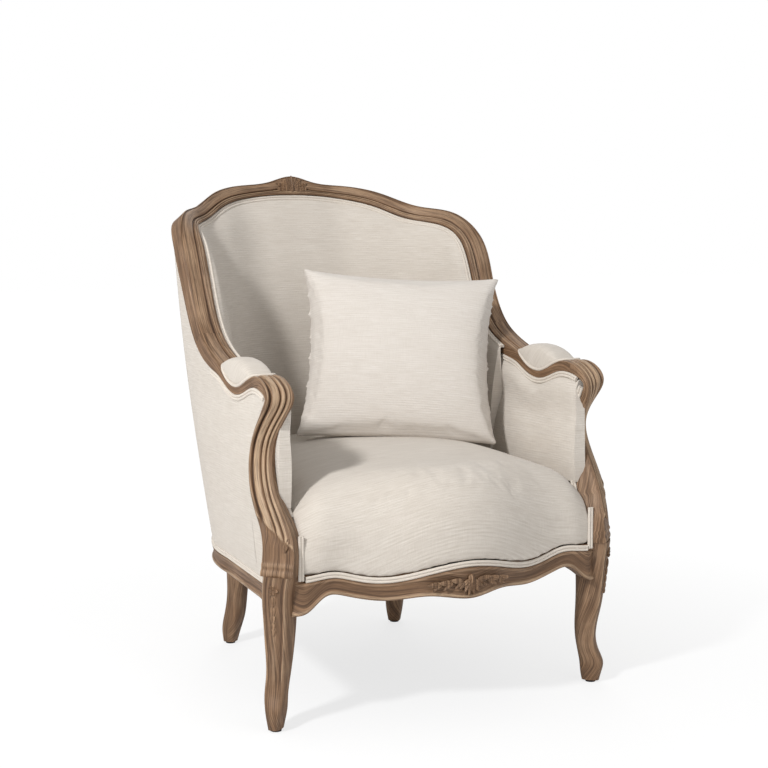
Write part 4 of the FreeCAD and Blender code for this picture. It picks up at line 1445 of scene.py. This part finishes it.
    def armrest(self, label: str, side: int) -> None:
        """Makes one saddle pad in the dip of the arm rail.

        Args:
            label: the side's name.
            side: 1 for the left and -1 for the right.
        """
        line = SmoothLine([y for y, _ in self.pad_line], [(z, 0) for _, z in self.pad_line])
        front, rear = self.pad_line[0][0], self.pad_line[-1][0]
        middle = (WOOD.arm_in + WOOD.arm_out) / 2
        rings = []
        for share in spread(0.0, 1.0, 46):
            y = front + (rear - front) * share
            end = max(0.12, (1 - abs(2 * share - 1) ** 4) ** 0.5)
            half = self.pad_half * end**0.5
            low = min(self.arm_underside(y) + 9, line.value(y).x - 2)
            top = low + (line.value(y).x - low) * end
            ring = []
            for angle in turns(28):
                c, s = math.cos(angle), math.sin(angle)
                x, z = rounded(c, 0.45 if s < 0 else 0.62), rounded(s, 0.5)
                ring.append(Vector((middle + x * half, y, (low + top) / 2 + z * (top - low) / 2)))
            rings.append(ring)
        made = finish_mesh(f"armrest_pad_{label}_stuffed", Sweep([flipped(r, side) for r in rings]).bm)
        dress(made, self.finishes.seat_linen, "chair", "linen", f"armrest_pad_{label}")

    def outside_rib(self, place: float) -> list[Vector]:
        """Closed section of the outer cover at a place of the show wood.

        Args:
            place: the place, counted in key sections.

        Returns:
            Its points.
        """
        cut = WOOD.cut(abs(place))
        guess = cut.point(0.98, -cut.depth)
        angle = PLAN.angle_of(guess)
        way = angle / (math.pi / 2) if angle > 0 else (guess.y - PLAN.centre_y) / PLAN.side_run
        here, outward = PLAN.rail(way)
        radial = heading(angle) if angle > 0 else ASIDE
        rise = held((6.2 - abs(place)) / 2.5)
        stand = self.cover * max(0.0, -radial.dot(cut.front))
        top = cut.point(0.985 - 0.35 * rise, -cut.depth - 0.6 - stand)
        foot = here - outward + self.cover_foot
        swell = 7.0 + 9.0 * rise
        outer = through([top.lerp(foot, t) + radial * (swell * math.sin(math.pi * t))
                         for t in (0, 0.2, 0.5, 0.8, 1)], 40)
        ring = outer + [point - radial * (self.cover - 1) for point in reversed(outer)]
        return flipped(ring, -1 if place < 0 else 1)

    def post_rib(self, share: float) -> list[Vector]:
        """Section of the outer cover between its last straight rib and the edge of the post.

        Args:
            share: how far it has come to the post's edge.

        Returns:
            Its points.
        """
        start = self.outside_rib(self.post_from)
        ways = spread(0.0, 1.0, len(start) // 2)
        head = WOOD.cut(self.post_from + (self.edge_from - self.post_from) * share)
        here, outward = PLAN.rail(-0.768 - 0.30 * share)
        cuts = [WOOD.cut(self.edge_from + self.edge_run * t) for t in ways]
        middle = [begun.lerp(cut.point(0.97, -cut.depth + 1.5), share) for begun, cut in zip(start, cuts)]
        up = head.point(0.985, -head.depth - 0.6) - middle[0]
        down = here - outward + self.cover_foot - middle[-1]
        rib = [point + up * (1 - t) ** 3 + down * t**3 for point, t in zip(middle, ways)]
        return rib + [point - ASIDE * (self.cover - 1) for point in reversed(rib)]

    def outside(self) -> None:
        """Makes the outer covers of both arms and of the back."""
        for label, side in SIDES.items():
            rings = [flipped(self.post_rib(share), side) for share in spread(1.0, 0.02, 40)]
            rings += [self.outside_rib(side * place) for place in spread(self.post_from, self.seam, 110)]
            made = finish_mesh(f"outside_arm_{label}_cover", Sweep(rings).bm)
            dress(made, self.finishes.linen, "chair", "linen", f"outside_arm_{label}")
        rings = [self.outside_rib(place) for place in spread(-self.seam, self.seam, 100)]
        made = finish_mesh("outside_back_cover", Sweep(rings).bm)
        dress(made, self.finishes.linen, "chair", "linen", "outside_back")

    def build(self) -> None:
        """Makes all the upholstery of the frame."""
        self.inside_back()
        self.seat()
        for label, side in SIDES.items():
            self.inside_arm(label, side)
            self.armrest(label, side)
        self.outside()


@dataclass
class Welts:
    """Double welts: two cords side by side under one strip of linen."""

    finishes: Finishes
    cord: float = 2.9
    steps: int = 12
    pad_middle: float = 11.6
    pad_reach: float = 1.84
    corner_x: float = 304.0
    corner_rise: tuple = (278, 358)

    def tube(self, path: Sequence[Vector], ups: Sequence[Vector], closed: bool = False) -> Sweep:
        """One cord along a path, which may close on itself.

        Args:
            path: its points.
            ups: the way out of the surface at each point.
            closed: True if it closes on itself.

        Returns:
            The cord.
        """
        rings, last = [], len(path) - 1
        for i, here in enumerate(path):
            ahead = path[(i + 1) % len(path)] if closed else path[min(i + 1, last)]
            along = (ahead - path[i - 1 if closed or i else 0]).normalized()
            up = (ups[i] - along * ups[i].dot(along)).normalized()
            side = along.cross(up)
            rings.append([here + up * (self.cord * math.cos(a)) + side * (self.cord * math.sin(a))
                          for a in turns(self.steps)])
        return Sweep(rings, closed=closed)

    def double(self, name: str, middle: Sequence[Vector], ups: Sequence[Vector], across: Sequence[Vector],
               *nodes: str) -> None:
        """Makes a double welt.

        Args:
            name: the piece's name.
            middle: points between the two cords, on their base.
            ups: the way out of the surface at each point.
            across: the way from one cord to the other at each point.
            nodes: CAD nodes that it stands for.
        """
        bm = bmesh.new()
        for shift in (-0.95, 0.95):
            path = [m + a * (self.cord * shift) for m, a in zip(middle, across)]
            merge(bm, self.tube(path, ups).bm)
        made = finish_mesh(name, bm)
        dress(made, self.finishes.welt, "chair", "welt", *nodes)

    def wood_edge(self, name: str, first: float, last: float, count: int, side: int,
                  spot: Callable[[Cut], tuple[Vector, Vector, Vector]], *nodes: str) -> None:
        """Double welt that follows the show wood.

        Args:
            name: the piece's name.
            first: place where it begins.
            last: place where it ends.
            count: how many points it has.
            side: 1 for the left and -1 for the right.
            spot: gives the middle, the way out and the way across of a section.
            nodes: CAD nodes that it stands for.
        """
        found = [spot(WOOD.cut(place)) for place in spread(first, last, count)]
        middle, ups, across = ([f[i] for f in found] for i in range(3))
        self.double(name, flipped(middle, side), flipped(ups, side), flipped(across, side), *nodes)

    def on_wood(self) -> None:
        """Makes the welts along the show wood."""

        def inner(cut: Cut) -> tuple[Vector, Vector, Vector]:
            """Spot, way out and way across of a welt under the inner edge."""
            return cut.point(0, -cut.depth - 6.3) + cut.across * 0.6, -cut.across, cut.front

        def outer(cut: Cut) -> tuple[Vector, Vector, Vector]:
            """Spot, way out and way across of a welt under the outer edge."""
            return cut.point(1, -cut.depth - 6.0) - cut.across * 0.5, cut.across, cut.front

        self.wood_edge("back_welt_double", -9.0, 9.0, 260, 1,
                       lambda cut: (cut.beside(6.3, -6.5), cut.front, cut.across), "back_welt")
        for label, side in SIDES.items():
            arm, post = f"arm_welt_{label}", f"post_welt_{label}"
            self.wood_edge(f"{arm}_double", 8.95, 14.5, 100, side, inner, arm)
            self.wood_edge(f"{post}_double", 15.6, 18.3, 60, side, inner, post)
            self.wood_edge(f"outer_arm_welt_{label}", 9.2, 14.7, 110, side, outer)

    def round_pad(self, label: str, side: int) -> None:
        """Makes the single welt round an armrest pad.

        Args:
            label: the side's name.
            side: 1 for the left and -1 for the right.
        """
        spots, ups = [], []
        for angle in turns(150):
            cut = WOOD.cut(self.pad_middle - rounded(math.sin(angle), 0.55) * self.pad_reach)
            spots.append(cut.point(0.5 - rounded(math.cos(angle), 0.4) * 0.505, 2.2))
            ups.append(cut.front)
        cord = self.tube(flipped(spots, side), flipped(ups, side), True)
        dress(finish_mesh(f"pad_welt_{label}", cord.bm), self.finishes.welt, "chair", "welt")

    def round_seat(self) -> None:
        """Makes the welt over the side and back rails, in one run round the chair."""
        left = [(way, 1) for way in spread(-1.06, 1.0, 120)]
        spots, ups = [], []
        for way, side in left[:-1] + [(way, -1) for way, _ in reversed(left)]:
            here, outward = PLAN.rail(way)
            spot, up = flipped([here - outward * 1.8 + UP * (PLAN.rail_top + 6.2), outward], side)
            spots.append(spot)
            ups.append(up)
        self.double("outside_welt_double", spots, ups, [UP] * len(spots), "outside_welt")

    def build(self) -> None:
        """Makes every welt."""
        self.on_wood()
        front = [Vector((x, FRONT.face(x) + 3.5, FRONT.top_z(x) + 6.2)) for x in spread(-296, 296, 150)]
        self.double("front_welt_double", front, [AHEAD] * 150, [UP] * 150, "front_welt")
        for label, side in SIDES.items():
            self.round_pad(label, side)
            foot = Vector((self.corner_x * side, FRONT.face(self.corner_x) + 6, 0))
            rise = [foot + UP * z for z in spread(*self.corner_rise, 30)]
            self.double(f"corner_welt_{label}", rise, [AHEAD] * 30, [ASIDE] * 30)
        self.round_seat()


@dataclass
class LooseCushion:
    """Scatter cushion that leans on the seat."""

    finishes: Finishes
    side: float = 408.0
    height: float = 362.0
    thick: float = 124.0
    edge: float = 13.0
    drawn_in: float = 14.0
    drawn_sides: float = 21.0
    middle: tuple = (79.0, 19.0, 629.0)
    turn: float = -22.4
    lean: float = 21.9
    tip: float = 3.3

    def placed(self) -> Matrix:
        """Where the cushion stands, in millimetres.

        Returns:
            The cushion's matrix.
        """
        angles = ((self.turn, "Z"), (-self.lean, "X"), (self.tip, "Y"))
        turn, lean, tip = (Matrix.Rotation(math.radians(angle), 4, axis) for angle, axis in angles)
        return Matrix.Translation(Vector(self.middle)) @ turn @ lean @ tip

    @staticmethod
    def plump(share: float) -> float:
        """Share of its thickness that the cushion keeps on the way to an edge."""
        return max(0.0, 1 - abs(share) ** 2.2) ** 0.62

    def ring(self, share: float, squeeze: float) -> list[Vector]:
        """Section of the cushion before it is put in its place.

        Args:
            share: how far across the cushion, from -1 to 1.
            squeeze: share of its thickness that it keeps.

        Returns:
            Its points.
        """
        ring = []
        for angle in turns(96):
            c, s = math.cos(angle), math.sin(angle)
            v = rounded(s, 0.8)
            half = (self.edge / 2 + (self.thick / 2 - self.edge / 2) * self.plump(share)
                    * self.plump(v)) * squeeze
            drawn = self.drawn_in * (1 - share * share) * (1.0 if s > 0 else 0.35) * abs(v) ** 3
            across = self.side / 2 + 3.0 - self.drawn_sides * (1 - v * v) * abs(share) ** 3
            out = math.copysign(half, -c) if abs(c) > 1e-6 else 0
            ring.append(Vector((share * across, out, v * (self.height / 2 + 3.0) - math.copysign(drawn, s))))
        return ring

    def build(self) -> None:
        """Makes the cushion with its sides drawn in between the corners."""
        place = self.placed()
        stations = [(-1.0, 0.05)] + [(share, 1.0) for share in spread(-1.0, 1.0, 81)] + [(1.0, 0.05)]
        rings = [[place @ point for point in self.ring(*station)] for station in stations]
        made = finish_mesh("cushion_cover_stuffed", Sweep(rings).bm, 180)
        Puff(0.0046, 4.0, 0.007).run(made)
        dress(made, self.finishes.cushion_linen, "cushion", "linen", "cushion_cover", "cushion_insert")


class Studio:
    """Camera, soft lamps, pale floor and white surroundings."""

    eye = (-1.416, -2.891, 0.939)
    lens = 75.2
    right = Vector((0.8937, -0.4486, 0.0))
    back = Vector((-0.4458, -0.8881, 0.1117))

    def camera(self) -> None:
        """Puts the camera where the photograph was taken."""
        data = bpy.data.cameras.new("camera")
        data.lens = self.lens
        data.sensor_width = 36
        made = bpy.data.objects.new("camera", data)
        up = self.back.cross(self.right)
        turn = Matrix((self.right, up, self.back)).transposed().to_4x4()
        made.matrix_world = Matrix.Translation(self.eye) @ turn
        bpy.context.scene.collection.objects.link(made)
        bpy.context.scene.camera = made

    def lamp(self, name: str, spot: Sequence[float], aim: Sequence[float], size: float, power: float) -> None:
        """Adds a square soft lamp.

        Args:
            name: its name.
            spot: where it stands.
            aim: what it points at.
            size: its side in metres.
            power: its power in watts.
        """
        data = bpy.data.lights.new(name, "AREA")
        data.size = size
        data.energy = power
        made = bpy.data.objects.new(name, data)
        way = Vector(aim) - Vector(spot)
        made.matrix_world = Matrix.Translation(spot) @ way.to_track_quat("-Z", "Y").to_matrix().to_4x4()
        bpy.context.scene.collection.objects.link(made)

    def world(self) -> None:
        """Soft surroundings that the camera sees as white."""
        world = bpy.data.worlds.new("surroundings")
        bpy.context.scene.world = world
        g = Graph(world)
        path = g.node("ShaderNodeLightPath").outputs
        seen = g.math("MAXIMUM", Wire(g, path["Is Camera Ray"]), Wire(g, path["Is Transmission Ray"]))
        back = g.tree.nodes["Background"]
        g.feed(back.inputs[0], (1, 1, 1, 1))
        g.feed(back.inputs[1], g.fit(seen, 0.0, 1.0, 0.56, 1.0))

    def floor(self) -> None:
        """Pale floor that shows white round the chair and keeps its shadow."""
        bm = bmesh.new()
        bmesh.ops.create_grid(bm, x_segments=2, y_segments=2, size=14)
        mesh = bpy.data.meshes.new("floor")
        bm.to_mesh(mesh)
        bm.free()
        made = bpy.data.objects.new("floor", mesh)
        bpy.context.scene.collection.objects.link(made)
        g = Graph(bpy.data.materials.new("floor_white"))
        seen = g.wire("ShaderNodeLightPath", out="Is Camera Ray")
        far = g.wire("ShaderNodeVectorMath", {"operation": "LENGTH"}, {0: g.place()}, "Value")
        share = seen * g.fit(far, 0.45, 1.5, 0.72, 1.0)
        glow = g.wire("ShaderNodeEmission", None, {"Color": (1, 1, 1, 1), "Strength": 1.02})
        plain = Wire(g, g.shader.outputs[0])
        blend = g.wire("ShaderNodeMixShader", None, {0: share, 1: plain, 2: glow})
        g.feed(g.tree.nodes["Material Output"].inputs[0], blend)
        mesh.materials.append(g.surface(Base_Color=(0.9, 0.9, 0.9, 1), Roughness=0.9, Specular_IOR_Level=0.1))

    def build(self) -> None:
        """Sets up the whole studio."""
        bpy.context.scene.view_settings.view_transform = "Standard"
        self.camera()
        self.world()
        self.floor()
        aim = (0.0, -0.05, 0.5)
        self.lamp("key", (-2.6, -1.5, 2.5), aim, 0.34, 98)
        self.lamp("fill", (0.9, -3.2, 1.6), aim, 2.4, 14)
        self.lamp("rim", (1.4, 2.4, 2.2), aim, 1.6, 16)


def dress_hidden(finishes: Finishes) -> None:
    """Gives every CAD node that still shows its own finish.

    Args:
        finishes: the chair's finishes.
    """
    slots = {s["node"]: s["material_slot"] for s in frame["record"]["subparts"]}
    for name, node in frame["nodes"].items():
        node.data.materials.clear()
        node.data.materials.append(finishes.plain[slots[name]])


def main() -> None:
    """Builds the chair's looks in order."""
    logging.basicConfig(level=logging.INFO, format="%(message)s")
    finishes = Finishes()
    dress_hidden(finishes)
    Studio().build()
    for part in (ShowWood, Legs, SeatRails, Carving, Upholstery, Welts, LooseCushion):
        part(finishes).build()


if __name__ == "__main__":
    main()
